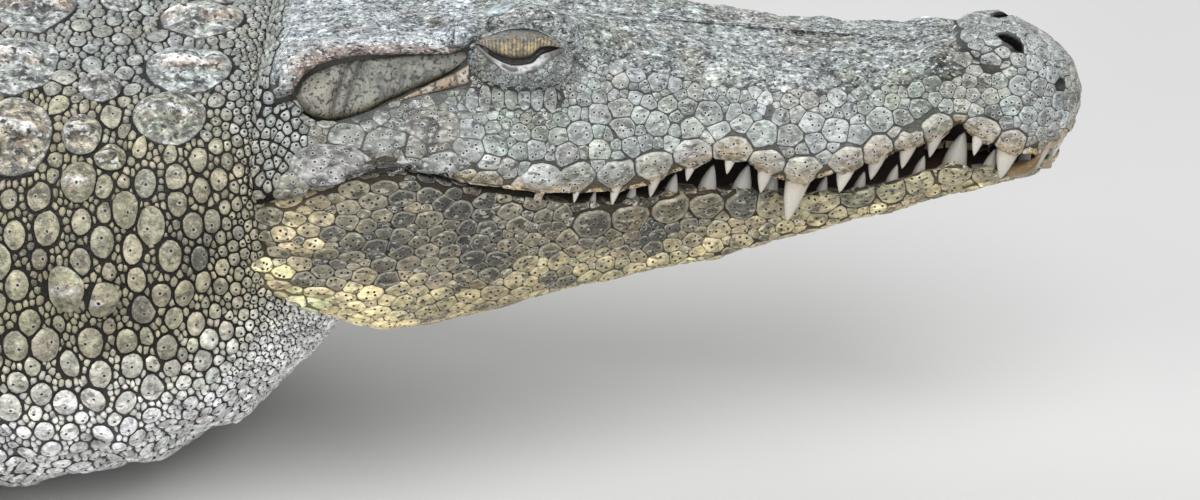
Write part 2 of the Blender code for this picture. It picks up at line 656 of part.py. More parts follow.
def centre_on_floor():
    """Moves the frame so that the origin is the middle of the footprint."""
    bpy.context.view_layer.update()
    graph = bpy.context.evaluated_depsgraph_get()
    corners = [
        vert.co.copy()
        for piece in bpy.context.scene.objects
        if piece.type == "MESH" and not piece.hide_render
        for vert in piece.evaluated_get(graph).to_mesh().vertices
    ]
    low = Vector(map(min, zip(*corners)))
    high = Vector(map(max, zip(*corners)))
    FRAME.location = (-(low.x + high.x) / 2, -(low.y + high.y) / 2, -low.z)


for old in list(bpy.data.objects):
    bpy.data.objects.remove(old)

FRAME = bpy.data.objects.new("crocodile", None)
bpy.context.scene.collection.objects.link(FRAME)
HIDE = paint("hide", (0.29, 0.29, 0.25), 0.62)
PALE_HIDE = paint("pale_hide", (0.52, 0.47, 0.33), 0.60)
IVORY = paint("ivory", (0.80, 0.76, 0.66), 0.30)
GLOSS = paint("eye", (0.16, 0.14, 0.07), 0.08)
HORN = paint("horn", (0.10, 0.09, 0.08), 0.40)

TRUNK_ROOM = build_body(build_head())
for SIDE, LABEL in ((-1, "right"), (1, "left")):
    for LIMB in (FORE_LIMB, HIND_LIMB):
        build_limb(LIMB, SIDE, LABEL, TRUNK_ROOM)
centre_on_floor()
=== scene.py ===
"""Skin, scales, shields, teeth, claws and eyes for a life-size resting saltwater crocodile.

Metres, +Z up, +X towards the snout. Places on the animal are given by s, the distance behind the snout's
tip along the spine, and by the distance to the animal's left and over the floor. Places on the head and
the jaw are given by s and run: steps down the side, from the crest to the lip or from the rim to the
throat. Regions, kinds of scale and the tables of measures are named where they are first used.
"""

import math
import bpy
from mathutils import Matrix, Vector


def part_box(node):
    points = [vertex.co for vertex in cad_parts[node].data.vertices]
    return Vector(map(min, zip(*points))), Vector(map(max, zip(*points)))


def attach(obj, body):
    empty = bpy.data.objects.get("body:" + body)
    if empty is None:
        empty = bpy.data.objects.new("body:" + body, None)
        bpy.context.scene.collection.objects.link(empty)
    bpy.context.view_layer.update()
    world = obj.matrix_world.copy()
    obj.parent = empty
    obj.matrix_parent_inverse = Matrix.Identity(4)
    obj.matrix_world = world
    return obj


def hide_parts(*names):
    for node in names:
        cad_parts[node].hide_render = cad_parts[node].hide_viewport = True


bl_info = {
    "name": "Resting saltwater crocodile",
    "version": (1, 0, 0),
    "blender": (4, 5, 0),
    "location": "3D View > Sidebar > Crocodile",
    "description": "Dresses the solids of a resting saltwater crocodile with skin, scales, teeth and eyes",
    "category": "Add Mesh",
}

import bmesh
import bpy
import numpy as np
from bpy.props import FloatProperty, FloatVectorProperty, IntProperty, PointerProperty
from mathutils import Matrix, Vector
from mathutils.bvhtree import BVHTree
from mathutils.kdtree import KDTree

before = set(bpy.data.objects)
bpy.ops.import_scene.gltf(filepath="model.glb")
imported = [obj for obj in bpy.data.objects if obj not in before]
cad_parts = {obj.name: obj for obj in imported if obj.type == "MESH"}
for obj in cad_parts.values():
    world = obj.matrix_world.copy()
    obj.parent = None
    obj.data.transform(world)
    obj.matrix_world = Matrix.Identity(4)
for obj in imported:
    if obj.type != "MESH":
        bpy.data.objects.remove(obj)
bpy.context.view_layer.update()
HEAD_LOW, HEAD_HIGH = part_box("head")
X_TIP = HEAD_HIGH.x
Y_AXIS = (HEAD_LOW.y + HEAD_HIGH.y) / 2

# ---------------------------------------------------------------- measures shared with the solids

TOTAL_LENGTH = 3.0
MOUTH_HEIGHT = 0.208
TAIL_START = 1.46
TAIL_SWING = math.radians(36)
TAIL_CURVE = 1.4 * math.pi
TRUNK_END, NECK_ROOT = 1.47, 0.362

CREST = (
    (0.0, 0, 0.013), (0.006, 0, 0.028), (0.02, 0, 0.038), (0.04, 0, 0.046), (0.06, 0, 0.0465),
    (0.08, 0, 0.043), (0.102, 0, 0.041), (0.149, 0, 0.043), (0.205, 0, 0.049), (0.256, 0, 0.056),
    (0.297, 0, 0.0605), (0.347, 0, 0.061), (0.407, 0, 0.062), (0.437, 0, 0.056), (0.447, 0, 0.045),
)
BROW = (
    (0.0, 0.004, 0.011), (0.006, 0.012, 0.023), (0.02, 0.02, 0.035), (0.043, 0.025, 0.043),
    (0.072, 0.024, 0.04), (0.102, 0.026, 0.037), (0.153, 0.032, 0.038), (0.205, 0.034, 0.045),
    (0.256, 0.037, 0.057), (0.281, 0.043, 0.071), (0.307, 0.046, 0.082), (0.332, 0.046, 0.074),
    (0.352, 0.046, 0.063), (0.397, 0.053, 0.062), (0.427, 0.06, 0.059), (0.447, 0.062, 0.042),
)
TEMPLE = (
    (0.0, 0.007, 0.006), (0.006, 0.018, 0.012), (0.02, 0.031, 0.021), (0.043, 0.038, 0.025),
    (0.072, 0.034, 0.024), (0.102, 0.04, 0.021), (0.153, 0.05, 0.018), (0.205, 0.051, 0.024),
    (0.256, 0.056, 0.034), (0.307, 0.061, 0.05), (0.332, 0.061, 0.049), (0.352, 0.061, 0.047),
    (0.397, 0.075, 0.041), (0.427, 0.085, 0.035), (0.447, 0.086, 0.026),
)
CHEEK = (
    (0.0, 0.006, 0.0), (0.006, 0.019, -0.001), (0.02, 0.035, 0.003), (0.043, 0.0455, 0.004),
    (0.07, 0.04, 0.014), (0.102, 0.048, 0.005), (0.159, 0.0625, 0.0), (0.205, 0.06, 0.009),
    (0.256, 0.074, 0.006), (0.307, 0.088, 0.013), (0.352, 0.101, 0.019), (0.397, 0.111, 0.017),
    (0.427, 0.116, 0.012), (0.447, 0.114, 0.009),
)
LIP = (
    (0.0, 0.004, -0.004), (0.006, 0.016, -0.0105), (0.02, 0.032, -0.0135), (0.043, 0.043, -0.007),
    (0.061, 0.04, 0.0), (0.07, 0.0385, 0.006), (0.078, 0.04, 0.0), (0.113, 0.05, -0.008),
    (0.161, 0.061, -0.017), (0.196, 0.0585, -0.003), (0.251, 0.072, -0.016), (0.292, 0.084, -0.011),
    (0.334, 0.0965, 0.001), (0.379, 0.108, 0.017), (0.412, 0.113, 0.008), (0.447, 0.112, -0.004),
)
JAW_RIM = (
    (0.009, 0.005, -0.027), (0.014, 0.014, -0.026), (0.031, 0.028, -0.025), (0.058, 0.0355, -0.024),
    (0.072, 0.036, -0.022), (0.108, 0.043, -0.029), (0.144, 0.0475, -0.033), (0.172, 0.049, -0.032),
    (0.21, 0.055, -0.0265), (0.266, 0.0755, -0.0235), (0.307, 0.089, -0.012), (0.334, 0.098, -0.002),
    (0.379, 0.109, 0.016), (0.437, 0.112, 0.0), (0.459, 0.106, -0.012), (0.471, 0.092, -0.03),
)
JAW_SIDE = (
    (0.009, 0.006, -0.029), (0.014, 0.013, -0.031), (0.031, 0.026, -0.0335), (0.072, 0.0345, -0.0345),
    (0.108, 0.041, -0.042), (0.172, 0.048, -0.048), (0.21, 0.055, -0.05), (0.266, 0.073, -0.052),
    (0.334, 0.097, -0.048), (0.379, 0.11, -0.044), (0.437, 0.116, -0.038), (0.459, 0.109, -0.035),
    (0.471, 0.093, -0.035),
)
JAW_EDGE = (
    (0.009, 0.004, -0.031), (0.014, 0.008, -0.036), (0.031, 0.017, -0.04), (0.072, 0.026, -0.046),
    (0.108, 0.032, -0.053), (0.172, 0.043, -0.066), (0.21, 0.049, -0.0735), (0.266, 0.062, -0.08),
    (0.334, 0.081, -0.088), (0.379, 0.091, -0.093), (0.417, 0.1, -0.076), (0.447, 0.104, -0.056),
    (0.471, 0.09, -0.04),
)
THROAT = (
    (0.009, 0, -0.032), (0.014, 0, -0.037), (0.031, 0, -0.041), (0.072, 0, -0.047), (0.108, 0, -0.053),
    (0.172, 0, -0.064), (0.21, 0, -0.07), (0.266, 0, -0.075), (0.334, 0, -0.082), (0.379, 0, -0.086),
    (0.417, 0, -0.074), (0.447, 0, -0.056), (0.471, 0, -0.042),
)
BODY = (
    (0.362, 0.055, 0.225, 0.14, 0.185), (0.407, 0.092, 0.24, 0.09, 0.172),
    (0.442, 0.112, 0.245, 0.05, 0.164), (0.477, 0.13, 0.246, 0.02, 0.152),
    (0.527, 0.148, 0.248, 0.001, 0.134), (0.59, 0.157, 0.252, -0.004, 0.122),
    (0.7, 0.169, 0.26, -0.009, 0.114), (0.82, 0.196, 0.268, -0.01, 0.112),
    (0.98, 0.214, 0.272, -0.01, 0.11), (1.12, 0.212, 0.267, -0.01, 0.108),
    (1.26, 0.188, 0.252, -0.01, 0.106), (1.38, 0.156, 0.23, -0.009, 0.1),
    (1.5, 0.126, 0.205, -0.008, 0.092), (1.7, 0.098, 0.172, -0.007, 0.078),
    (2.0, 0.068, 0.138, -0.006, 0.064), (2.4, 0.04, 0.098, -0.005, 0.046),
    (2.75, 0.02, 0.06, -0.003, 0.029), (3.0, 0.0035, 0.022, 0.0, 0.01),
)
ROUND, FLAT, SQUARE = 2.0, 2.3, 2.8
NECK_ROUND, TRUNK_SQUARE, TAIL_ROUND = 0.5, 0.95, 1.9

EYE_AT = (0.308, 0.052, 0.053)
EYE_RADIUS = 0.016
LID_SIZE = (0.029, 0.0205, 0.0195)
LID_THICKNESS, EAR_THICKNESS = 0.001, 0.0018
SLIT_TILT = math.radians(38)
UPPER_TEETH = (
    (0.013, 0.008), (0.022, 0.01), (0.041, 0.017), (0.058, 0.01), (0.082, 0.011), (0.097, 0.012),
    (0.114, 0.013), (0.131, 0.014), (0.157, 0.024), (0.175, 0.012), (0.194, 0.01), (0.216, 0.009),
    (0.236, 0.009), (0.257, 0.008), (0.278, 0.006), (0.297, 0.005),
)
LOWER_TEETH = (
    (0.018, 0.012), (0.031, 0.01), (0.051, 0.01), (0.07, 0.018), (0.09, 0.009), (0.105, 0.009),
    (0.123, 0.009), (0.144, 0.009), (0.172, 0.011), (0.188, 0.014), (0.207, 0.013), (0.227, 0.01),
    (0.249, 0.008), (0.27, 0.006),
)
TOOTH_STOUTNESS, TOOTH_ROOT = 0.33, 0.005

FORE_LIMB = {
    "pieces": ("upper_arm", "forearm", "hand"),
    "joints": ((0.765, 0.09, 0.118), (0.87, 0.268, 0.098), (0.77, 0.345, 0.04), (0.705, 0.378, 0.01)),
    "radii": ((0.058, 0.052), (0.042, 0.044), (0.031, 0.026), (0.038, 0.012)),
    "digits": (
        (-38, 0.052, True), (-18, 0.066, True), (2, 0.072, True), (22, 0.064, False), (44, 0.05, False),
    ),
    "digit_radius": 0.0125,
    "web": 0.35,
}
HIND_LIMB = {
    "pieces": ("thigh", "shank", "foot"),
    "joints": ((1.335, 0.04, 0.106), (1.235, 0.275, 0.105), (1.41, 0.325, 0.045), (1.31, 0.385, 0.012)),
    "radii": ((0.08, 0.074), (0.051, 0.055), (0.036, 0.031), (0.046, 0.014)),
    "digits": ((-30, 0.084, True), (-10, 0.108, True), (10, 0.112, True), (30, 0.092, False)),
    "digit_radius": 0.015,
    "web": 0.8,
}
LEFT_SHIFT = {"hand": 0.045, "foot": -0.04}
CLAW_LENGTH, TOE_OVERLAP, TOE_FAN, WEB_THICKNESS = 0.02, 0.022, 0.014, 0.0035
LIMB_SWELL, DIGIT_TAPER = 0.17, 0.3

CREST_PITCH = 0.046
CREST_PAIRS_FROM, CREST_SINGLE_FROM, CREST_END = 1.5, 2.18, 2.97
CREST_TALLEST, CREST_THICKNESS, CREST_ROOT = 0.046, 0.0075, 0.022

LIP_RUN, PALATE_RUN = 8, 11
JAW_TOP_RUN, JAW_RUN = 2, 9
PALATE_RISE, LIP_THICKNESS = 0.012, 0.004
FLOOR_CLEAR = 0.0004

# ---------------------------------------------------------------- measures of the scene alone

SIDES = {-1: "right", 1: "left"}
MOUTH_CORNER = 0.345  # s, behind which lip and jaw are one
NECK_LAST = 0.72  # s, up to which the body wears the neck's scales
BIG_PLATE = 0.0108  # half-width from which a plate keeps a straighter outline
RUN_WIDTH = 0.012  # about how wide one step down the head is, for noise
RUN_STEP = 0.04  # steps of run between which a section's direction is taken
MERGE = 1e-6  # vertices closer than this are one

# ---------------------------------------------------------------- settings


class CrocodileColours(bpy.types.PropertyGroup):
    """Colours of the animal, linear"""

    def colour(label, what, value):
        return FloatVectorProperty(
            name=label, description=what, subtype="COLOR", size=3, min=0, max=1, default=value
        )

    snout: colour("Snout", "Top and sides of the snout", (0.262, 0.284, 0.276))
    lip: colour("Lip", "Plates along the upper lip", (0.38, 0.375, 0.32))
    jaw: colour("Jaw", "Side of the lower jaw", (0.52, 0.445, 0.25))
    neck: colour("Neck", "Ovals on the side of the neck", (0.295, 0.268, 0.18))
    throat: colour("Throat", "Throat and the underside of the neck", (0.8, 0.8, 0.76))
    back: colour("Back", "Top of the neck, back and tail", (0.2, 0.2, 0.165))
    flank: colour("Flank", "Sides of the trunk, tail and limbs", (0.33, 0.295, 0.185))
    belly: colour("Belly", "Belly and the underside of the tail", (0.56, 0.52, 0.4))
    blotch: colour("Blotch", "Dark bands and blotches", (0.055, 0.056, 0.05))
    # Gap and crack: the skin between scales and plates, dark partly in its own colour and partly as painted shade in
    # the narrow gaps.
    gap: colour("Gap", "Skin between the scales", (0.016, 0.014, 0.014))
    crack: colour("Crack", "Skin between the plates of head and jaw", (0.055, 0.04, 0.026))
    table: colour("Table", "Pale horn on top of the skull and shields", (0.34, 0.372, 0.392))
    # Mouth: painted shade, dark brown inside the shallow gap between palate and lower jaw.
    mouth: colour("Mouth", "Inside of the mouth", (0.05, 0.026, 0.018))


class CrocodileScales(bpy.types.PropertyGroup):
    """Sizes of the scales"""

    def length(label, what, value):
        return FloatProperty(
            name=label, description=what, unit="LENGTH", subtype="DISTANCE", min=0, max=0.05, default=value
        )

    depth: length("Coat depth", "How deep the skin lies inside the solids", 0.0016)
    gap: length("Gap", "Bare skin between two scales", 0.001)
    plate: length("Head plate", "Half-width of a plate on the side of the snout", 0.0062)
    oval: length("Neck oval", "Half-width of a large oval on the neck", 0.0066)
    granule: length("Granule", "Half-width of a small scale between the ovals", 0.0027)
    shield: length("Shield", "Half-width of a keeled shield on the back", 0.0175)
    whorl: length("Whorl", "Half-height of a scale in a ring around the tail", 0.0125)
    belly: length("Belly plate", "Half-width of a square plate on the belly", 0.0125)
    seed: IntProperty(name="Seed", description="Start of every random draw", default=11, min=0)


class CrocodileStage(bpy.types.PropertyGroup):
    """Floor, light and camera"""

    floor: FloatVectorProperty(
        name="Floor", description="Colour of the floor", subtype="COLOR", size=3, min=0, max=1,
        default=(0.56, 0.555, 0.545),
    )
    key: FloatProperty(name="Key light", description="Large light", unit="POWER", min=0, default=54)
    fill: FloatProperty(name="Fill light", description="Low light", unit="POWER", min=0, default=14)
    sky: FloatProperty(name="Sky", description="Strength of the even light", min=0, default=0.52)
    lens: FloatProperty(name="Lens", description="Focal length", unit="CAMERA", min=1, default=94)
    distance: FloatProperty(name="Distance", description="Camera to aim", unit="LENGTH", default=1.7)
    elevation: FloatProperty(
        name="Elevation", description="How far the camera looks down", subtype="ANGLE",
        default=math.radians(30),
    )


# ---------------------------------------------------------------- lines and sections, on arrays


def along(stations, column, s):
    """One column of a table of stations at s, on a smooth curve that never overshoots them."""
    table = np.array([[row[0], row[column]] for row in stations], float)
    xs, ys = table[:, 0], table[:, 1]
    steps = np.diff(ys) / np.diff(xs)
    before, after = steps[:-1], steps[1:]
    level = before * after <= 0
    inner = np.where(level, 0.0, 2 * before * after / np.where(level, 1.0, before + after))
    slopes = np.concatenate(([steps[0]], inner, [steps[-1]]))
    s = np.clip(s, xs[0], xs[-1])
    i = np.clip(np.searchsorted(xs, s, side="right") - 1, 0, len(xs) - 2)
    gap = xs[i + 1] - xs[i]
    t = (s - xs[i]) / gap
    return (
        (2 * t**3 - 3 * t**2 + 1) * ys[i] + (t**3 - 2 * t**2 + t) * gap * slopes[i]
        + (3 * t**2 - 2 * t**3) * ys[i + 1] + (t**3 - t**2) * gap * slopes[i + 1]
    )


def line_at(line, s):
    """Half-width and height of a line of the head or jaw at s."""
    return np.stack([along(line, 1, s), along(line, 2, s)], axis=1)


def spline(points, t, arched=False):
    """The points at t, from 0 to 1, on Catmull-Rom curves through rows of 2-D points."""
    points = np.stack(points)
    start = points[1] * np.array([-1.0, 1.0]) if arched else 2 * points[0] - points[1]
    padded = np.concatenate(([start], points, [2 * points[-1] - points[-2]]))
    run = t * (len(points) - 1)
    i = np.clip(run.astype(int), 0, len(points) - 2)
    t = (run - i)[:, None]
    row = np.arange(len(run))
    before, p, q, after = (padded[i + k, row] for k in range(4))
    return (
        2 * p + (q - before) * t + (2 * before - 5 * p + 4 * q - after) * t**2
        + (3 * p - before - 3 * q + after) * t**3
    ) / 2


SPINE_STEP = 0.002


def spine_table():
    x, y, table = X_TIP, Y_AXIS, []
    for i in range(int(TOTAL_LENGTH / SPINE_STEP) + 2):
        s = i * SPINE_STEP
        wave = max(0.0, (s - TAIL_START) / (TOTAL_LENGTH - TAIL_START))
        heading = TAIL_SWING * math.sin(TAIL_CURVE * wave) * min(1.0, 3 * wave)
        table.append((x, y, heading))
        x -= SPINE_STEP * math.cos(heading)
        y += SPINE_STEP * math.sin(heading)
    return np.array(table)


SPINE = spine_table()


def place(s, side, height):
    """World points at s along the spine, side to the animal's left, and height over the floor."""
    s, side, height = np.broadcast_arrays(np.atleast_1d(s).astype(float), side, height)
    i = np.clip((s / SPINE_STEP).astype(int), 0, len(SPINE) - 2)
    t = (s / SPINE_STEP - i)[:, None]
    x, y, heading = (SPINE[i] + (SPINE[i + 1] - SPINE[i]) * t).T
    return np.stack([x + side * np.sin(heading), y + side * np.cos(heading), height], axis=1)


def smooth(x, low, high):
    """From 0 at low to 1 at high, with level ends."""
    t = np.clip((np.asarray(x) - low) / (high - low), 0, 1)
    return t * t * (3 - 2 * t)


def bump(x, centre, width):
    return np.exp(-(((x - centre) / width) ** 2))


LATTICE = np.random.default_rng(5).uniform(-1, 1, 4096)


def cloud(points, size, seed=0):
    """Smooth noise from -1 to 1 over rows of points, with features about size across."""
    grid = np.asarray(points) / size + 19.7 * seed + 311.0
    cell = np.floor(grid).astype(np.int64)
    t = grid - cell
    t = t * t * (3 - 2 * t)
    total = np.zeros(len(grid))
    for corner in np.ndindex(2, 2, 2):
        k = cell + corner
        slot = (k[:, 0] * 73856093 ^ k[:, 1] * 19349663 ^ k[:, 2] * 83492791) & 4095
        weight = np.where(corner, t, 1 - t).prod(axis=1)
        total += LATTICE[slot] * weight
    return total


def tooth_lobes(s, teeth, width):
    lift = np.zeros(len(s))
    for at, length in teeth:
        lift += (0.35 + 26 * length) * bump(s, at, width + 0.1 * length)
    return lift


def head_section(s, run):
    """Half-width and height of the head, run steps down its side from the crest: the lip, then the palate."""
    half = [line_at(line, s) for line in (CREST, BROW, TEMPLE, CHEEK, LIP)]
    side = spline(half, np.clip(run / LIP_RUN, 0, 1), arched=True)
    lip = half[-1]
    wide, high = lip.T
    inner = np.stack([np.maximum(wide - LIP_THICKNESS, wide * 0.7), high + 0.2 * PALATE_RISE], axis=1)
    middle = np.stack([0 * s, np.minimum(high + PALATE_RISE, half[0][:, 1] * 0.5 + high * 0.5)], axis=1)
    t = np.clip((run - LIP_RUN) / (PALATE_RUN - LIP_RUN), 0, 1)[:, None]
    inside = np.where(t < 1 / 3, lip + (inner - lip) * 3 * t, inner + (middle - inner) * (3 * t - 1) / 2)
    return np.where((run <= LIP_RUN)[:, None], side, inside)


def jaw_section(s, run):
    """Half-width and height of the lower jaw: from the middle out to the rim, then down to the throat."""
    rim, flank, edge, low = (line_at(line, s) for line in (JAW_RIM, JAW_SIDE, JAW_EDGE, THROAT))
    t = np.clip(run / JAW_TOP_RUN, 0, 1)[:, None]
    middle = np.stack([0 * s, rim[:, 1] - 0.003], axis=1)
    down = np.clip((run - JAW_TOP_RUN) / (JAW_RUN - JAW_TOP_RUN), 0, 1)
    below = spline([rim, flank, edge, low], down)
    point = np.where((run <= JAW_TOP_RUN)[:, None], middle + (rim - middle) * t, below)
    return np.stack([np.maximum(point[:, 0], 0), point[:, 1]], axis=1)


def body_section(s, v):
    """Side and height of the neck, trunk and tail: superellipses, once around as v goes from 0 to 1."""
    half, top, low, wide = (along(BODY, column, s) for column in (1, 2, 3, 4))
    up, out = np.cos(2 * np.pi * v), np.sin(2 * np.pi * v)
    front, back = np.where(up > 0, SQUARE, ROUND), np.where(up > 0, FLAT, SQUARE)
    power = front + (back - front) * np.clip((s - NECK_ROUND) / (TRUNK_SQUARE - NECK_ROUND), 0, 1)
    power = power + (ROUND - power) * np.clip((s - TRUNK_END) / (TAIL_ROUND - TRUNK_END), 0, 1)
    side = np.copysign(np.abs(out) ** (2 / power), out) * half
    reach = np.abs(up) ** (2 / power)
    height = np.where(up > 0, wide + (top - wide) * reach, wide - (wide - low) * reach)
    return np.stack([side, height], axis=1)


def raised(section, s, v, step, lift):
    """A section's points moved outwards by lift, in the section's own plane."""
    here = section(s, v)
    run = section(s, v + step) - section(s, v - step)
    length = np.maximum(np.hypot(run[:, 0], run[:, 1]), 1e-9)
    return here + np.stack([-run[:, 1], run[:, 0]], axis=1) / length[:, None] * lift[:, None]


# ---------------------------------------------------------------- relief of the skin

STATE = {}  # the finished ground and the creases' search tree, kept between operators


def tree_of(points):
    """A search tree of points."""
    tree = KDTree(len(points))
    for i, point in enumerate(points):
        tree.insert(point, i)
    tree.balance()
    return tree


def on_side(section, s, run, side):
    """World points of a section of the head or jaw, on one side of the animal."""
    point = section(s, run)
    return place(s, side * point[:, 0], point[:, 1] + MOUTH_HEIGHT)


# Rolled edge of the skull's table: (s, run)
TABLE_EDGE = (
    (0.33, 2.9), (0.345, 2.6), (0.36, 2.4), (0.38, 2.2), (0.398, 2.05), (0.412, 2.05), (0.425, 2.15),
)


def rim_line(s):
    """Where the rolled edge of the skull's table runs, in steps down the side of the head."""
    return np.interp(s, *zip(*TABLE_EDGE))


# Edges of the ear flap, top and low, and of the bar in front of it: (s, steps down the side of the head)
EAR_TOP = (
    (0.333, 3.4), (0.345, 3.05), (0.36, 2.85), (0.38, 2.65), (0.398, 2.5), (0.412, 2.58), (0.4225, 2.82),
    (0.427, 3.3),
)
EAR_LOW = (
    (0.333, 3.43), (0.345, 3.8), (0.36, 4.06), (0.38, 4.24), (0.395, 4.34), (0.406, 4.3), (0.415, 4.14),
    (0.4225, 3.84), (0.427, 3.36),
)
BAR_TOP = ((0.336, 3.72), (0.345, 3.96), (0.356, 4.17), (0.374, 4.4))
BAR_LOW = ((0.336, 4.26), (0.345, 4.34), (0.356, 4.4), (0.374, 4.415))
RIM_ROLL = (
    (0.336, 3.0), (0.346, 2.68), (0.36, 2.45), (0.38, 2.24), (0.398, 2.1), (0.412, 2.12), (0.4225, 2.3),
    (0.429, 2.6), (0.4312, 2.95), (0.429, 3.25),
)
# Long creases of the face, in the same measures
CREASES = (
    ((0.287, 3.3), (0.266, 3.55), (0.236, 4.0), (0.212, 4.3), (0.226, 4.75), (0.244, 5.2)),
    ((0.33, 4.42), (0.361, 4.62), (0.398, 4.5), (0.414, 4.3), (0.424, 3.9)),
    ((0.33, 5.1), (0.312, 5.2), (0.296, 5.25), (0.282, 5.1)),
    ((0.262, 3.62), (0.262, 4.6), (0.258, 5.6), (0.252, 6.4)),
    ((0.352, 4.75), (0.356, 5.6), (0.362, 6.5)),
)


def ear_zone(s, run):
    """Where the ear flap, the bar in front of it and the rolled rim leave no room for scales."""
    top, low = np.interp(s, *zip(*EAR_TOP)), np.interp(s, *zip(*EAR_LOW))
    flap = (s > 0.335) & (s < 0.4265) & (run > top - 0.55) & (run < low + 0.12)
    bar = (s > 0.335) & (s < 0.374) & (run > 3.3) & (run < np.interp(s, *zip(*BAR_LOW)) + 0.05)
    hook = (s >= 0.4265) & (s < 0.434) & (run > 2.2) & (run < 3.4)
    return flap | bar | hook


def crease_share(points):
    """How close rows of points lie to a crease of the face, from 0 to 1."""
    if "creases" not in STATE:
        marks = []
        for line in CREASES:
            at = np.linspace(0, len(line) - 1, 24 * len(line))
            s, run = (np.interp(at, np.arange(len(line)), column) for column in zip(*line))
            wander = 0.0012 * cloud(np.stack([s, run * RUN_WIDTH, 0 * s], axis=1), 0.007, 17)
            marks += [on_side(head_section, s + wander, run, side) for side in SIDES]
        STATE["creases"] = tree_of(np.concatenate(marks))
    away = np.array([STATE["creases"].find(point)[2] for point in points])
    return np.exp(-((away / 0.0024) ** 4))


def is_crown(region, s, run):
    """The top of the snout and of the skull, where skin grows on the bone in fine wrinkles."""
    return (region == HEAD) & (s > 0.072) & (run < np.where(s < 0.33, 3.0, rim_line(s) + 0.3))


def head_relief(s, run, side):
    """Everything that stands out from the plain form of the head, or is sunk in it."""
    where = np.stack([s, run * RUN_WIDTH, side * 3.0], axis=1)
    table = smooth(s, 0.326, 0.344) * (1 - smooth(s, 0.434, 0.446))
    rim = rim_line(s)
    ear_low = np.interp(s, *zip(*EAR_LOW))
    ear = smooth(run, rim + 0.3, rim + 0.6) * (1 - smooth(run, ear_low, ear_low + 0.2))
    lift = table * (0.005 * bump(run, rim, 0.42) - 0.0056 * ear)
    lift += 0.0042 * bump(s, 0.434, 0.0065) * smooth(run, 1.2, 1.6) * (1 - smooth(run, 2.7, 3.1))
    horn, notch = bump(s, 0.34, 0.007) * bump(run, 2.3, 0.7), bump(s, 0.328, 0.003) * bump(run, 2.6, 0.6)
    lift += 0.0052 * horn - 0.004 * notch
    lift -= 0.0016 * bump(run, 0, 1.1) * smooth(s, 0.335, 0.365) * (1 - smooth(s, 0.42, 0.44))
    lobes = tooth_lobes(s, UPPER_TEETH, 0.0042)
    lift += 0.0016 * lobes * bump(run, 7.5, 1.1) * (1 - smooth(s, 0.3, 0.33))
    lift -= 0.0006 * bump(run, 7.6, 1.2) * (1 - smooth(s, 0.3, 0.33))
    disc = np.hypot((s - 0.05) / 0.0215, run / 2.35)
    lift += 0.0028 * (1 - smooth(disc, 0.72, 1.0)) - 0.0026 * bump(disc, 1.06, 0.09) * smooth(s, 0.04, 0.05)
    lift += 0.003 * bump(s, 0.083, 0.01) * bump(run, 1.9, 0.8)
    cheek = smooth(s, 0.335, 0.365) * smooth(run, 4.3, 5.0) * (1 - smooth(run, 7.6, 8.0))
    lift += cheek * (0.0034 * cloud(where, 0.022, 1) + 0.0012 * cloud(where, 0.01, 2))
    muzzle = smooth(s, 0.06, 0.09) * (1 - smooth(s, 0.29, 0.32))
    muzzle = muzzle * smooth(run, 1.2, 3.0) * (1 - smooth(run, 7.0, 8))
    lift += muzzle * (0.002 * cloud(where, 0.016, 3) + 0.0008 * cloud(where, 0.007, 4))
    crown = (1 - smooth(run, 2.2, 3.4)) * smooth(s, 0.06, 0.09)
    fibres = np.stack([s * 0.22, run * RUN_WIDTH, side * 3.0], axis=1)
    lift += crown * (0.0012 * cloud(fibres, 0.0036, 5) + 0.0011 * cloud(where, 0.011, 6))
    under_eye = smooth(s, 0.26, 0.28) * (1 - smooth(s, 0.335, 0.35)) * bump(run, 4.7, 0.22)
    lift -= 0.0022 * under_eye
    for line in CREASES:
        gap = np.full(len(s), 1.0)
        for (s0, r0), (s1, r1) in zip(line, line[1:]):
            ax, ay, bx, by = s - s0, (run - r0) * 0.0125, s1 - s0, (r1 - r0) * 0.0125
            t = np.clip((ax * bx + ay * by) / (bx * bx + by * by), 0, 1)
            gap = np.minimum(gap, np.hypot(ax - t * bx, ay - t * by))
        lift -= 0.0016 * bump(gap, 0, 0.0024)
    return lift


def jaw_relief(s, run, side):
    where = np.stack([s, run * RUN_WIDTH, side * 3.0], axis=1)
    lobes = tooth_lobes(s, LOWER_TEETH, 0.004)
    lift = 0.0013 * lobes * bump(run, JAW_TOP_RUN + 1.1, 1.1) * (1 - smooth(s, 0.29, 0.32))
    lift += 0.0062 * np.minimum(lobes, 1.2) * bump(run, JAW_TOP_RUN, 0.7) * (1 - smooth(s, 0.26, 0.3))
    lift += smooth(run, 2.5, 3.5) * (0.0014 * cloud(where, 0.02, 7) + 0.0008 * cloud(where, 0.009, 8))
    folds = smooth(s, 0.36, 0.42) * smooth(run, 2.2, 3.0) * (1 - smooth(run, 5.5, 7.5))
    lift += folds * 0.002 * np.sin((run + 7 * (s - 0.4)) * 2 * np.pi / 1.55)
    return lift


def body_relief(s, v, points):
    neck = 1 - smooth(s, 0.66, 0.74)
    lift = neck * (0.0026 * cloud(points, 0.03, 9) + 0.0013 * cloud(points, 0.013, 10))
    crease = points[:, 0] + 0.35 * np.abs(points[:, 1] - Y_AXIS)
    low = smooth(np.abs(v - 0.5), 0.42, 0.3)
    lift += low * bump(s, 0.52, 0.07) * 0.0022 * np.sin(crease * 2 * np.pi / 0.034)
    for at in (0.468, 0.504, 0.552, 0.6):
        line = at + 0.01 * cloud(points[:, [1, 1, 2]], 0.05, 14 + at * 100) + 0.1 * np.abs(v - 0.5)
        lift -= neck * 0.003 * bump(s, line - 0.03, 0.0032)
    lift += (1 - neck) * 0.0022 * cloud(points, 0.045, 11)
    return lift * smooth(points[:, 2], 0.004, 0.03)


# ---------------------------------------------------------------- mesh tools


def vectors(points):
    return [Vector(p) for p in np.asarray(points, float)]


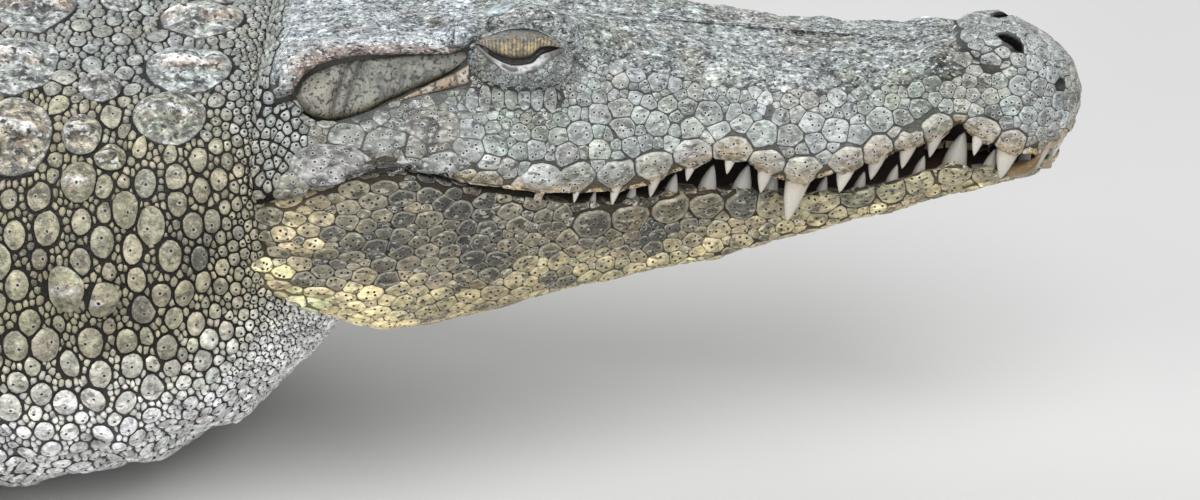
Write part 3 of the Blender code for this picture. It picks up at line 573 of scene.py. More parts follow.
def sheet(mesh, steps, rows):
    """Adds a flat grid. Gives back its vertices and their places, from 0 to 1 along and across."""
    made = bmesh.ops.create_grid(mesh, x_segments=steps, y_segments=rows, size=0.5)["verts"]
    flat = np.array([vert.co[:2] for vert in made]) + 0.5
    return made, flat[:, 0], flat[:, 1]


def thicken(mesh, made, outward, thickness):
    """Turns a bent sheet's faces outwards and makes a leaf of it."""
    faces = list(dict.fromkeys(face for vert in made for face in vert.link_faces))
    bmesh.ops.recalc_face_normals(mesh, faces=faces)
    faces[0].normal_update()
    if faces[0].normal.dot(Vector(outward)) < 0:
        bmesh.ops.reverse_faces(mesh, faces=faces)
    bmesh.ops.solidify(mesh, geom=faces, thickness=thickness)


def wrap(mesh, form, rings, around):
    """Adds a closed tube: form takes u, from 0 to 1 along, and v, once around. Gives back its vertices."""
    made, u, v = sheet(mesh, rings, around)
    for vert, point in zip(made, form(u, v)):
        vert.co = point
    kept = set(bmesh.ops.find_doubles(mesh, verts=made, dist=MERGE)["targetmap"])
    bmesh.ops.remove_doubles(mesh, verts=made, dist=MERGE)
    left = [vert for vert in made if vert not in kept and vert.is_valid]
    rim = dict.fromkeys(edge for vert in left for edge in vert.link_edges if edge.is_boundary)
    if rim:
        bmesh.ops.holes_fill(mesh, edges=list(rim))
    return [vert for vert in made if vert.is_valid]


def link(name, data):
    """A new object in the scene."""
    piece = bpy.data.objects.new(name, data)
    bpy.context.scene.collection.objects.link(piece)
    return piece


def to_object(mesh, name, smooth_shade=True):
    """Faces outwards, then a new object from a bmesh."""
    bmesh.ops.recalc_face_normals(mesh, faces=mesh.faces)
    if mesh.calc_volume(signed=True) < 0:
        bmesh.ops.reverse_faces(mesh, faces=mesh.faces)
    data = bpy.data.meshes.new(name)
    mesh.to_mesh(data)
    mesh.free()
    if smooth_shade:
        data.shade_smooth()
    return link(name, data)


def joined(name, points, triangles, quads):
    """One mesh of many small things from arrays of points and faces."""
    data = bpy.data.meshes.new(name)
    corners = np.concatenate([triangles.ravel(), quads.ravel()])
    sizes = np.concatenate([np.full(len(triangles), 3), np.full(len(quads), 4)])
    data.vertices.add(len(points))
    data.vertices.foreach_set("co", points.astype(np.float32).ravel())
    data.loops.add(len(corners))
    data.loops.foreach_set("vertex_index", corners.astype(np.int32))
    data.polygons.add(len(sizes))
    data.polygons.foreach_set("loop_start", (np.cumsum(sizes) - sizes).astype(np.int32))
    data.update(calc_edges=True)
    data.shade_smooth()
    return link(name, data)


ATTRIBUTE_KEYS = {"FLOAT": "value", "FLOAT_VECTOR": "vector", "FLOAT_COLOR": "color"}


def set_values(piece, name, kind, values):
    """Writes an attribute of the points: FLOAT, FLOAT_VECTOR or FLOAT_COLOR."""
    layer = piece.data.attributes.new(name, kind, "POINT")
    key = ATTRIBUTE_KEYS[kind]
    if kind == "FLOAT_COLOR":
        values = np.concatenate([values, np.ones((len(values), 1))], axis=1)
    layer.data.foreach_set(key, np.ascontiguousarray(values, np.float32).ravel())


def set_unwrap(piece, uv):
    """Writes the OFBake map from a place for each point."""
    loops = np.empty(len(piece.data.loops), np.int32)
    piece.data.loops.foreach_get("vertex_index", loops)
    layer = piece.data.uv_layers.new(name="OFBake")
    layer.uv.foreach_set("vector", np.clip(uv, 0, 1)[loops].astype(np.float32).ravel())


def hand_over(piece, material, slot):
    """A finished piece gets its material and rides on the body; its slot is not used."""
    piece.data.materials.clear()
    piece.data.materials.append(bpy.data.materials[material])
    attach(piece, "root")


def combine(first, others, operation, name):
    """Booleans of the first object with all the others, as a new object. The old ones are removed."""
    for other in others:
        step = first.modifiers.new(other.name, "BOOLEAN")
        step.operation = operation
        step.solver = "MANIFOLD"
        step.object = other
    bpy.context.view_layer.update()
    graph = bpy.context.evaluated_depsgraph_get()
    data = bpy.data.meshes.new_from_object(first.evaluated_get(graph), depsgraph=graph)
    bpy.data.objects.remove(first)
    data.name = name
    done = link(name, data)
    for other in others:
        bpy.data.objects.remove(other)
    return done


# ---------------------------------------------------------------- the skin's own pieces

HEAD, JAW, TORSO, LIMB = range(4)  # regions
HEAD_RINGS, HEAD_AROUND = 216, 184
JAW_RINGS, JAW_AROUND = 150, 120
NECK_RINGS, TRUNK_RINGS, TAIL_RINGS, BODY_AROUND = 76, 62, 110, 88
# s of the border between head and neck, by run
NAPE_LINE = ((1.5, 0.44), (3.0, 0.441), (3.6, 0.43), (4.5, 0.418), (5.4, 0.432), (7.0, 0.437))


def mirrored(v, steps):
    run = v * 2 * steps
    return np.minimum(run, 2 * steps - run), np.where(run <= steps, 1.0, -1.0)


def region_slots(piece, region):
    """Marks a piece's faces with their region, by material index, so that it outlives the Booleans."""
    for label in ("head", "jaw", "torso", "limb"):
        name = f"region_{label}"
        piece.data.materials.append(bpy.data.materials.get(name) or bpy.data.materials.new(name))
    piece.data.polygons.foreach_set("material_index", np.full(len(piece.data.polygons), region, np.int32))


class SkinMap:
    """Remembers, for points of the skin's pieces, their region, s and place around."""

    def __init__(self):
        self.points, self.rows = [], []

    def note(self, points, region, s, run, side):
        known = np.full(len(points), float(region)), s + 0 * run, run, side + 0 * run
        self.points.append(points)
        self.rows.append(np.stack(known, axis=1))

    def look_up(self, points):
        tree = tree_of(np.concatenate(self.points))
        rows = np.concatenate(self.rows)[[tree.find(point)[1] for point in points]]
        region, s, run = rows[:, 0], rows[:, 1], rows[:, 2]
        edge = np.interp(run, *zip(*NAPE_LINE))
        behind = (region == HEAD) & (s > edge) | (region == JAW) & (s > 0.462)
        rows[behind, 0], rows[behind, 2] = TORSO, 0.27
        return rows


def tube(name, region, form, rings, around):
    """One closed piece of the skin, marked with its region."""
    mesh = bmesh.new()
    wrap(mesh, form, rings, around)
    piece = to_object(mesh, name)
    region_slots(piece, region)
    return piece


def head_tube(notes, depth):
    def form(u, v):
        s = CREST[-1][0] * u**1.18
        run, side = mirrored(v, PALATE_RUN)
        outer = smooth(LIP_RUN + 0.3 - run, 0.0, 0.6)
        lift = (head_relief(s, np.minimum(run, LIP_RUN), side) - depth) * outer
        point = raised(head_section, s, run, RUN_STEP, lift)
        drop = 0.003 * tooth_lobes(s, UPPER_TEETH, 0.0036)
        drop = drop * smooth(run, 6.4, 7.8) * (1 - smooth(run, 9.0, 10.5))
        points = place(s, side * np.maximum(point[:, 0], 0), point[:, 1] - drop + MOUTH_HEIGHT)
        notes.note(points, HEAD, s, run, side)
        return points

    return tube("skin_head", HEAD, form, HEAD_RINGS, HEAD_AROUND)


def jaw_tube(notes, depth):
    first, last = JAW_RIM[0][0], JAW_RIM[-1][0]

    def form(u, v):
        s = first + (last - first) * (0.5 - 0.5 * np.cos(np.pi * u)) ** 0.9
        run, side = mirrored(v, JAW_RUN)
        outer = smooth(run, JAW_TOP_RUN - 0.4, JAW_TOP_RUN + 0.2)
        lift = jaw_relief(s, run, side) * outer - depth
        point = raised(jaw_section, s, run, RUN_STEP, lift)
        climb = 0.0026 * tooth_lobes(s, LOWER_TEETH, 0.0036)
        climb = climb * smooth(run, 0.9, 1.8) * (1 - smooth(run, 2.1, 3.4))
        points = place(s, side * np.maximum(point[:, 0], 0), point[:, 1] + climb + MOUTH_HEIGHT)
        notes.note(points, JAW, s, run, side)
        return points

    return tube("skin_jaw", JAW, form, JAW_RINGS, JAW_AROUND)


def body_tube(notes, depth):
    rings = np.cumsum((0, NECK_RINGS, TRUNK_RINGS, TAIL_RINGS)).tolist()
    ends = (NECK_ROOT, 0.8, TRUNK_END, TOTAL_LENGTH)

    def form(u, v):
        s = np.interp(u * rings[-1], rings, ends)
        plain = body_section(s, v)
        here = place(s, plain[:, 0], plain[:, 1])
        lift = body_relief(s, v, here) - depth * (1 - smooth(s, 2.9, 3.0))
        point = raised(body_section, s, v, 0.002, lift)
        points = place(s, point[:, 0], np.maximum(point[:, 1], FLOOR_CLEAR))
        notes.note(points, TORSO, s, v, np.sign(point[:, 0]))
        return points

    return tube("skin_body", TORSO, form, rings[-1], BODY_AROUND)


def limb_points(limb, side):
    shift = LEFT_SHIFT[limb["pieces"][2]] if side > 0 else 0.0
    points = [place(s + shift * (i > 1), side * y, z)[0] for i, (s, y, z) in enumerate(limb["joints"])]
    points[1][0] -= shift / 2
    return points


def unit(vector):
    return vector / np.linalg.norm(vector)


def capsule(mesh, p, q, start, end, rings, sides, swell, note):
    """A closed limb segment with rounded ends: start and end are half-widths across and through."""
    run = unit(q - p)
    flat = unit(np.cross((0, 0, 1), run))
    through = np.cross(run, flat)
    length = np.linalg.norm(q - p)
    cap = 0.22

    def form(u, v):
        t = np.clip((u - cap) / (1 - 2 * cap), 0, 1)
        first, last = np.clip(1 - u / cap, 0, 1), np.clip((u - 1 + cap) / cap, 0, 1)
        tips = -np.sin(first * np.pi / 2) * min(start) + np.sin(last * np.pi / 2) * min(end)
        round_off = np.cos(first * np.pi / 2) * np.cos(last * np.pi / 2)
        muscle = 1 + swell * np.sin(np.pi * t)
        wide = (start[0] + (end[0] - start[0]) * t) * muscle * round_off
        deep = (start[1] + (end[1] - start[1]) * t) * muscle * round_off
        angle = 2 * np.pi * v
        points = p + np.outer(t * length + tips, run) + np.outer(wide * np.cos(angle), flat)
        points += np.outer(deep * np.sin(angle), through)
        points[:, 2] = np.maximum(points[:, 2], FLOOR_CLEAR)
        note(points, t)
        return points

    wrap(mesh, form, rings, sides)


def foot_aim(points):
    """Where a foot points on the floor, and which way is outwards."""
    aim = points[3] - points[2]
    aim[2] = 0
    return unit(aim), -1 if points[3][1] < Y_AXIS else 1


def toe_frames(limb, points):
    """Where each toe starts, its direction, length and whether it has a claw."""
    aim, out = foot_aim(points)
    for spread, length, clawed in limb["digits"]:
        angle = math.radians(spread) * out
        cos, sin = math.cos(angle), math.sin(angle)
        turn = np.array(((cos, -sin, 0), (sin, cos, 0), (0, 0, 1)))
        way = turn @ aim
        yield points[3] + way * TOE_FAN - aim * TOE_OVERLAP, way, length + TOE_OVERLAP - TOE_FAN, clawed


def web_fan(mesh, limb, points, note):
    """The skin between the toes of a foot: a thin fan that lies on the floor."""
    aim, out = foot_aim(points)
    spreads = np.radians([row[0] for row in limb["digits"]])
    reaches = np.array([row[1] * limb["web"] for row in limb["digits"]])
    last = len(spreads) - 1

    def form(u, v):
        on = u * last
        angle = np.interp(on, np.arange(last + 1), spreads) * out
        between = on - np.minimum(on.astype(int), last - 1)
        reach = np.interp(on, np.arange(last + 1), reaches) * (1 - 0.22 * np.sin(np.pi * between))
        x = aim[0] * np.cos(angle) - aim[1] * np.sin(angle)
        y = aim[0] * np.sin(angle) + aim[1] * np.cos(angle)
        lap = 4 * v
        far = np.interp(lap, (0, 1, 2, 3, 4), (0, 1, 1, 0, 0))
        height = np.interp(lap, (0, 1, 1.5, 2, 3, 3.5, 4), (0, 0, 0.5, 0.75, 1.6, 1.0, 0)) * WEB_THICKNESS
        folds = 0.0006 * np.cos(6 * np.pi * between) * far * (lap > 1.6) * (lap < 3)
        made = points[3] - aim * TOE_FAN + np.stack([x, y, 0 * x], axis=1) * (far * reach)[:, None]
        made[:, 2] = np.maximum(height + folds, 0) + FLOOR_CLEAR
        note(made, 2.9 + 0 * u)
        return made

    wrap(mesh, form, 8 * last, 16)


def limb_skin(limb, side, label, notes, depth):
    """One limb's skin in one mesh: three segments, the toes and the webs between them."""
    points = limb_points(limb, side)
    parts = []

    def part(name, build, *values):
        mesh = bmesh.new()
        build(mesh, *values)
        piece = to_object(mesh, f"{name}_{label}")
        region_slots(piece, LIMB)
        parts.append(piece)

    def note(first):
        return lambda made, t: notes.note(made, LIMB, first + t, 0 * t, side)

    radii = [(a - depth, b - depth * 0.7) for a, b in limb["radii"]]
    for i in range(3):
        rings, swell = (24, LIMB_SWELL) if i < 2 else (20, 0.04)
        ends = points[i], points[i + 1], radii[i], radii[i + 1]
        part(limb["pieces"][i], capsule, *ends, rings, 36, swell, note(i))
    radius = limb["digit_radius"] - depth * 0.4
    thin = radius * (1 - DIGIT_TAPER)
    for k, (root, way, reach, _) in enumerate(toe_frames(limb, points)):
        start = np.array((root[0], root[1], 0.85 * radius))
        tip = start + way * (reach - radius * 0.55)
        tip[2] = 0.85 * radius * (1 - DIGIT_TAPER)
        part(f"toe_{k}", capsule, start, tip, (radius, radius), (thin, thin), 18, 16, 0.06, note(3))
    part("web", web_fan, limb, points, note(0))
    return combine(parts[0], parts[1:], "UNION", f"skin_{limb['pieces'][0]}_{label}")


def eye_frame(side):
    """The eye's centre and its directions: forward, up along the lids, and outward."""
    centre = place(EYE_AT[0], side * EYE_AT[1], EYE_AT[2] + MOUTH_HEIGHT)[0]
    outward = np.array((0, side * math.cos(SLIT_TILT), math.sin(SLIT_TILT)))
    upward = np.array((0, -side * math.sin(SLIT_TILT), math.cos(SLIT_TILT)))
    return centre, np.array((1.0, 0, 0)), upward, outward


def eye_boss(side):
    """The pale knob on the lid in front of the eye."""
    return eye_frame(side)[0] + np.array((-0.0095, -side * 0.0115, 0.0199))


def ball(name, centre, size, turn=None, around=40, rings=24):
    def form(u, v):
        wide = np.sin(np.pi * u)
        angle = 2 * np.pi * v
        return np.stack([wide * np.cos(angle), wide * np.sin(angle), -np.cos(np.pi * u)], axis=1)

    mesh = bmesh.new()
    wrap(mesh, form, rings, around)
    bmesh.ops.scale(mesh, vec=size, verts=mesh.verts)
    if turn is not None:
        bmesh.ops.rotate(mesh, matrix=turn, verts=mesh.verts)
    bmesh.ops.translate(mesh, vec=Vector(centre), verts=mesh.verts)
    return to_object(mesh, name)


def head_spot(s, run, side):
    """A point on the head and the outward direction there."""
    s, run = np.array([float(s)]), np.array([float(run)])
    at = head_section(s, run)[0]
    out = raised(head_section, s, run, RUN_STEP, np.array([0.01]))[0] - at
    out = unit(np.array((0, side * out[0], out[1])))
    return place(s, side * at[0], at[1] + MOUTH_HEIGHT)[0], out


NOSTRIL = ((0.048, 0.75), (0.0365, 1.7))  # the ends of the slit: s, and steps down from the crest
CHEEK_HIGHLIGHT = (0.413, 5.35)  # s and run of the painted highlight on the cheek plate behind the mouth
PITS = ((0.0135, 3.3, 0.0034, 0.005), (0.174, 3.9, 0.0015, 0.003))  # s, run, radius, depth


def nostril_frame(side):
    ends = [head_spot(s, run, side)[0] for s, run in NOSTRIL]
    middle = (NOSTRIL[0][0] + NOSTRIL[1][0]) / 2, (NOSTRIL[0][1] + NOSTRIL[1][1]) / 2
    centre, out = head_spot(*middle, side)
    return centre, unit(ends[1] - ends[0]), out


def head_holes():
    """Cutters for the nostrils and the pits of the snout."""
    cutters = []
    for side in SIDES:
        centre, way, out = nostril_frame(side)
        across = np.cross(out, way)
        turn = Matrix((way, across, out)).transposed()
        cutters.append(ball(f"nostril_{side}", centre + out * 0.002, (0.0084, 0.0042, 0.012), turn))
        for s, run, radius, deep in PITS:
            at, out = head_spot(s, run, side)
            turn = Vector(out).to_track_quat("Z", "Y").to_matrix()
            cutters.append(ball(f"pit_{s}_{side}", at, (radius, radius, deep), turn, 20, 12))
    return cutters


def build_skin(depth):
    """All the flesh as one closed mesh, and what is known of each of its points."""
    notes = SkinMap()
    head = head_tube(notes, depth)
    orbits = []
    for side in SIDES:
        centre, *_ = eye_frame(side)
        orbit = ball(f"orbit_{side}", centre, [x - 0.0012 for x in LID_SIZE], None, 64, 40)
        region_slots(orbit, HEAD)
        co = np.array([vert.co for vert in orbit.data.vertices])
        notes.note(co, HEAD, X_TIP - co[:, 0], 0 * co[:, 0] + 3.0, side)
        orbits.append(orbit)
    head = combine(head, orbits, "UNION", "skin_head")
    head = combine(head, head_holes(), "DIFFERENCE", "skin_head")
    others = [body_tube(notes, depth), jaw_tube(notes, depth)]
    for side, label in SIDES.items():
        for limb in (FORE_LIMB, HIND_LIMB):
            others.append(limb_skin(limb, side, label, notes, depth))
    skin = combine(head, others, "UNION", "skin")
    mesh = bmesh.new()
    mesh.from_mesh(skin.data)
    keep_largest(mesh)
    soften(mesh)
    bmesh.ops.triangulate(mesh, faces=mesh.faces)
    mend(mesh)
    mesh.to_mesh(skin.data)
    mesh.free()
    skin.data.shade_smooth()
    return skin, notes


def keep_largest(mesh):
    """Removes every island of a mesh but the largest."""
    islands, seen = [], set()
    for start in mesh.verts:
        if start in seen:
            continue
        seen.add(start)
        island, stack = [start], [start]
        while stack:
            for edge in stack.pop().link_edges:
                for vert in edge.verts:
                    if vert not in seen:
                        seen.add(vert)
                        island.append(vert)
                        stack.append(vert)
        islands.append(island)
    islands.sort(key=len)
    bmesh.ops.delete(mesh, geom=[vert for island in islands[:-1] for vert in island], context="VERTS")


def mend(mesh):
    """Closes the skin again around the few edges that more than two faces share."""
    for _ in range(4):
        odd = dict.fromkeys(vert for edge in mesh.edges if len(edge.link_faces) > 2 for vert in edge.verts)
        if not odd:
            break
        region = next(iter(next(iter(odd)).link_faces)).material_index
        bmesh.ops.delete(mesh, geom=list(odd), context="VERTS")
        rim = [edge for edge in mesh.edges if edge.is_boundary]
        for face in bmesh.ops.holes_fill(mesh, edges=rim, sides=0)["faces"]:
            beside = [other for edge in face.edges for other in edge.link_faces if other is not face]
            near = [other.material_index for other in beside]
            face.material_index = max(set(near), key=near.count) if near else region
    bmesh.ops.triangulate(mesh, faces=[face for face in mesh.faces if len(face.verts) > 3])
    bmesh.ops.delete(mesh, geom=[vert for vert in mesh.verts if not vert.link_faces], context="VERTS")
    bmesh.ops.recalc_face_normals(mesh, faces=mesh.faces)


def soften(mesh):
    """Rounds the creases where the regions meet, except in front of the mouth's corner."""
    seam = set()
    for edge in mesh.edges:
        faces = edge.link_faces
        if len(faces) == 2 and faces[0].material_index != faces[1].material_index:
            kinds = {faces[0].material_index, faces[1].material_index}
            if kinds == {HEAD, JAW} and edge.verts[0].co.x > X_TIP - MOUTH_CORNER:
                continue
            seam.update(edge.verts)
        elif len(faces) == 2 and faces[0].material_index == LIMB and edge.calc_face_angle(0) > 0.5:
            seam.update(edge.verts)
    factor, times = 0.5, 6
    for steps in (2, 4):
        grown = set(seam)
        for _ in range(steps):
            grown |= {e.other_vert(v) for v in grown for e in v.link_edges}
        verts = [vert for vert in mesh.verts if vert in grown]
        for _ in range(times):
            bmesh.ops.smooth_vert(
                mesh, verts=verts, factor=factor, use_axis_x=True, use_axis_y=True, use_axis_z=True
            )


# ---------------------------------------------------------------- markings, with painted shade and painted highlights


def locate(points):
    """s along the spine and the signed distance to the animal's left, for rows of points."""
    tree = tree_of([(x, y, 0) for x, y, _ in SPINE])
    nearest = np.array([tree.find((x, y, 0))[1] for x, y, _ in points])
    x, y, heading = SPINE[nearest].T
    dx, dy = points[:, 0] - x, points[:, 1] - y
    s = nearest * SPINE_STEP - dx * np.cos(heading) + dy * np.sin(heading)
    return np.maximum(s, 0.0), dx * np.sin(heading) + dy * np.cos(heading)


def mixed(a, b, share):
    """Colour a with a share of colour b, for each point."""
    return np.asarray(a) + (np.asarray(b) - a) * np.clip(share, 0, 1)[:, None]


def layered(colour, *layers):
    """A colour with others laid over it in turn, each by its share."""
    for tone, share in layers:
        colour = mixed(colour, tone, share)
    return colour


class Spots:
    """What the markings depend on, for rows of points."""

    def __init__(self, points, rows):
        self.points, self.z = points, points[:, 2]
        self.region, self.known_s, self.run = rows[:, 0], rows[:, 1], rows[:, 2]
        self.s, _ = locate(points)
        low, top = np.maximum(along(BODY, 3, self.s), 0), along(BODY, 2, self.s)
        self.level = (self.z - low) / np.maximum(top - low, 0.01)
        self.rough = 0.5 * cloud(points, 0.045, 1) + 0.3 * cloud(points, 0.018, 2)
        self.rough = self.rough + 0.2 * cloud(points, 0.008, 3)
        self.fine = 0.6 * cloud(points, 0.011, 4) + 0.4 * cloud(points, 0.005, 5)


def body_tone(at, tone):
    """Neck, trunk and tail: pale below, dark above, with bands from the shoulders on."""
    s, level, rough, fine = at.s, at.level, at.rough, at.fine
    cloudy = 0.6 * smooth(rough + 0.5 * fine, 0.1, 0.5) * smooth(level, 0.3, 0.6)
    neck = layered(
        tone["throat"], (tone["neck"], smooth(level + 0.08 * rough, 0.28, 0.6)), ((0.08, 0.08, 0.076), cloudy)
    )
    neck *= (1 - 0.16 * smooth(level, 0.45, 0.7))[:, None]
    # Brighter and a little bluer at the very bottom: the throat's own pale colour, and painted light against the
    # shade near the floor.
    neck *= (1.14 + 0.2 * smooth(-level, -0.4, -0.2))[:, None]
    neck *= 1 + smooth(-level, -0.45, -0.15)[:, None] * np.array((0.0, 0.02, 0.08))
    body = mixed(tone["belly"], tone["flank"], smooth(level + 0.1 * rough, 0.1, 0.34))
    band = np.sin(s * 2 * np.pi / np.interp(s, (0.8, 1.5, 3.0), (0.15, 0.145, 0.12)) + 1.1 * rough)
    band = smooth(band + 0.5 * rough, 0.25, 0.75) * smooth(level + 0.1 * fine, 0.3, 0.55)
    band = band * smooth(s, 0.74, 0.92)
    spots = smooth(rough + 0.6 * fine, 0.34, 0.55) * smooth(level, 0.22, 0.45) * smooth(s, 0.7, 0.85)
    return layered(
        neck, (body, smooth(s, 0.66, 0.86)),
        (tone["back"], smooth(level + 0.13 * rough, 0.72, 0.95) * smooth(s, 0.6, 0.74)),
        (tone["snout"] * 0.95, smooth(level + 0.14 * rough, 0.86, 1.02) * (s < 0.74)),
        (tone["blotch"], band * np.interp(s, (0.8, 1.4, 2.0), (0.45, 0.62, 0.78))),
        (tone["blotch"], 0.5 * spots),
    )


def limb_tone(at, tone):
    return layered(
        tone["flank"] * 0.92, (tone["belly"], smooth(0.035 - at.z, 0.0, 0.03) * (at.known_s < 2.6)),
        (tone["blotch"], 0.55 * smooth(at.rough + 0.5 * at.fine, 0.22, 0.5)),
    )


def head_tone(at, tone):
    """Head: pale lip with an ochre edge, grey table, a dark cheek that is partly painted shade, blotches, a painted
    highlight on the cheek plate behind the mouth, the dark mouth as painted shade, and around the eyes a pale knob
    and painted shade.
    """
    points, s, run, z, rough, fine = at.points, at.s, at.run, at.z, at.rough, at.fine
    lip, rim = along(LIP, 2, s) + MOUTH_HEIGHT, rim_line(s)
    ochre = smooth(lip + 0.0065 + 0.002 * fine - z, -0.002, 0.006) * (s < MOUTH_CORNER)
    under_rim = smooth(s, 0.335, 0.35) * (1 - smooth(s, 0.425, 0.44)) * bump(run, rim + 0.3, 0.22)
    green = smooth(cloud(points, 0.035, 19) + 0.4 * fine, 0.15, 0.6)
    green = green * (1 - smooth(run, 5.5, 7.0)) * (s < 0.33)
    head = layered(
        tone["snout"],
        (tone["lip"], smooth(lip + 0.02 + 0.006 * rough - z, 0.0, 0.014) * (s < 0.34)),
        ((0.4, 0.29, 0.14), 0.75 * ochre),
        (tone["table"], smooth(s, 0.328, 0.34) * (1 - smooth(run, rim + 0.1, rim + 0.5))),
        # Dark cool cheek: partly its own mottled colour, partly painted shade on the side of the head that faces
        # down.
        ((0.138, 0.141, 0.128), smooth(s, 0.335, 0.37) * smooth(run, 4.0, 4.8)),
        (tone["neck"] * 0.85, 0.5 * smooth(s, 0.4, 0.44) * smooth(run, 4.0, 5.5)),
        ((0.15, 0.145, 0.105), 0.8 * bump(run, 3.6, 0.6) * smooth(s, 0.335, 0.35)),
        # Brown under the rolled rim of the table: partly its own colour, partly painted shade under the rim.
        ((0.23, 0.15, 0.11), 0.6 * under_rim),
        (tone["blotch"], 0.74 * smooth(rough + 0.7 * fine, 0.3, 0.56)),
        ((0.66, 0.67, 0.66), 0.55 * smooth(fine - 0.4 * rough, 0.36, 0.66)),
        ((0.215, 0.18, 0.125), 0.35 * smooth(cloud(points, 0.014, 12), 0.1, 0.55)),
    )
    head = mixed(head, head * np.array((0.84, 0.92, 0.76)), 0.5 * green)
    # Painted highlight: a pale spot on the broad cheek plate behind the mouth.
    tip = np.array((X_TIP, Y_AXIS, 0))
    gap = np.abs(points - tip) - np.abs(head_spot(*CHEEK_HIGHLIGHT, -1)[0] - tip)
    pale = smooth(-np.linalg.norm(gap * (0.8, 1, 1.6), axis=1) + 0.005 * fine, -0.011, -0.003)
    head = layered(
        head, ((0.5, 0.51, 0.5), 0.4 * pale),
        ((0.2, 0.15, 0.1), 0.55 * smooth(s, 0.375, 0.39) * bump(run + 20 * (s - 0.41), 6.75, 0.45)),
    )
    # Painted shade: in front of the mouth's corner the palate takes the dark mouth colour.
    palate = np.where((s < 0.32)[:, None], tone["mouth"], np.array((0.11, 0.098, 0.07)))
    head = np.where((run > LIP_RUN + 0.2)[:, None], palate, head)
    for side in SIDES:
        near = np.linalg.norm(points - eye_boss(side), axis=1)
        head = mixed(head, (0.3, 0.36, 0.4), 0.85 * (1 - smooth(near + 0.002 * fine, 0.006, 0.01)))
        # Painted shade: darker in a ring around each eye, apart from the pale knob.
        around = np.linalg.norm(points - eye_frame(side)[0], axis=1)
        head = mixed(head, head * 0.8, (1 - smooth(around, 0.024, 0.036)) * (near > 0.01))
    return head


def jaw_tone(at, tone):
    """Lower jaw: straw-coloured, pale below, with a dark band and blotches along its upper half; the band is partly
    dark plates and partly painted shade under the lip, and the inside of the mouth is painted shade.
    """
    points, s, run = at.points, at.s, at.run
    upper = (1 - smooth(run + 0.8 * at.rough, 4.0, 5.8)) * smooth(s, 0.13, 0.22) * (1 - smooth(s, 0.4, 0.46))
    blotch = smooth(cloud(points, 0.022, 8) + 0.5 * at.fine, 0.22, 0.56) * (1 - smooth(run, 5.5, 7.5))
    jaw = mixed(tone["jaw"], tone["throat"], smooth(run, 6.8, 8.2))
    jaw *= (1.06 + 1.05 * smooth(s, 0.35, 0.42))[:, None] * np.array((1.0, 0.98, 0.95))
    # The dark band on the upper half: partly dark plates, partly painted shade under the overhanging upper lip.
    jaw = mixed(jaw, (0.112, 0.103, 0.082), 0.9 * upper)
    jaw *= (1 + 0.65 * upper * cloud(points, 0.01, 15))[:, None]
    jaw = layered(
        jaw, ((0.26, 0.265, 0.19), 0.6 * (1 - smooth(run, 2.6, 3.8)) * (s < 0.2)),
        ((0.215, 0.16, 0.085), 0.35 * smooth(cloud(points, 0.017, 13), 0.05, 0.5)),
        ((0.045, 0.047, 0.045), 0.84 * blotch),
    )
    # Painted shade: the jaw's top inside the mouth takes the dark mouth colour.
    return np.where((run < JAW_TOP_RUN - 0.35)[:, None] & (s < 0.33)[:, None], tone["mouth"], jaw)


def painted_shade_in_holes(points, colour):
    """The colour with painted shade inside the nostrils and pits."""
    for side in SIDES:
        centre, way, out = nostril_frame(side)
        a, b, c = (points - centre) @ way, (points - centre) @ np.cross(out, way), (points - centre) @ out
        dark = (1 - smooth(np.hypot(a / 0.0095, b / 0.0052), 0.9, 1.15)) * smooth(-c, -0.0004, 0.0006)
        colour = mixed(colour, (0.006, 0.006, 0.006), dark)
        for s, run, radius, _ in PITS:
            away = np.linalg.norm(points - head_spot(s, run, side)[0], axis=1)
            colour = mixed(colour, (0.05, 0.05, 0.022), smooth(-away, -radius * 1.5, -radius * 0.9))
    return colour


def markings_and_painted_light(points, rows, colours):
    """The animal's colours at rows of points, for the skin and for everything that grows on it, with painted shade
    and painted highlights on the head and jaw.
    """
    tone = {key: np.array(getattr(colours, key)) for key in CrocodileColours.__annotations__}
    at = Spots(points, rows)
    body, head, jaw = body_tone(at, tone), head_tone(at, tone), jaw_tone(at, tone)
    head = mixed(head, body, smooth(at.s, 0.425, 0.46))
    jaw = mixed(jaw, body, smooth(at.s, 0.452, 0.475))
    regions = [(at.region == region)[:, None] for region in (HEAD, JAW, LIMB)]
    colour = np.select(regions, [head, jaw, limb_tone(at, tone)], body)
    return np.clip(painted_shade_in_holes(points, colour), 0.003, 0.9)


# ---------------------------------------------------------------- where scales grow


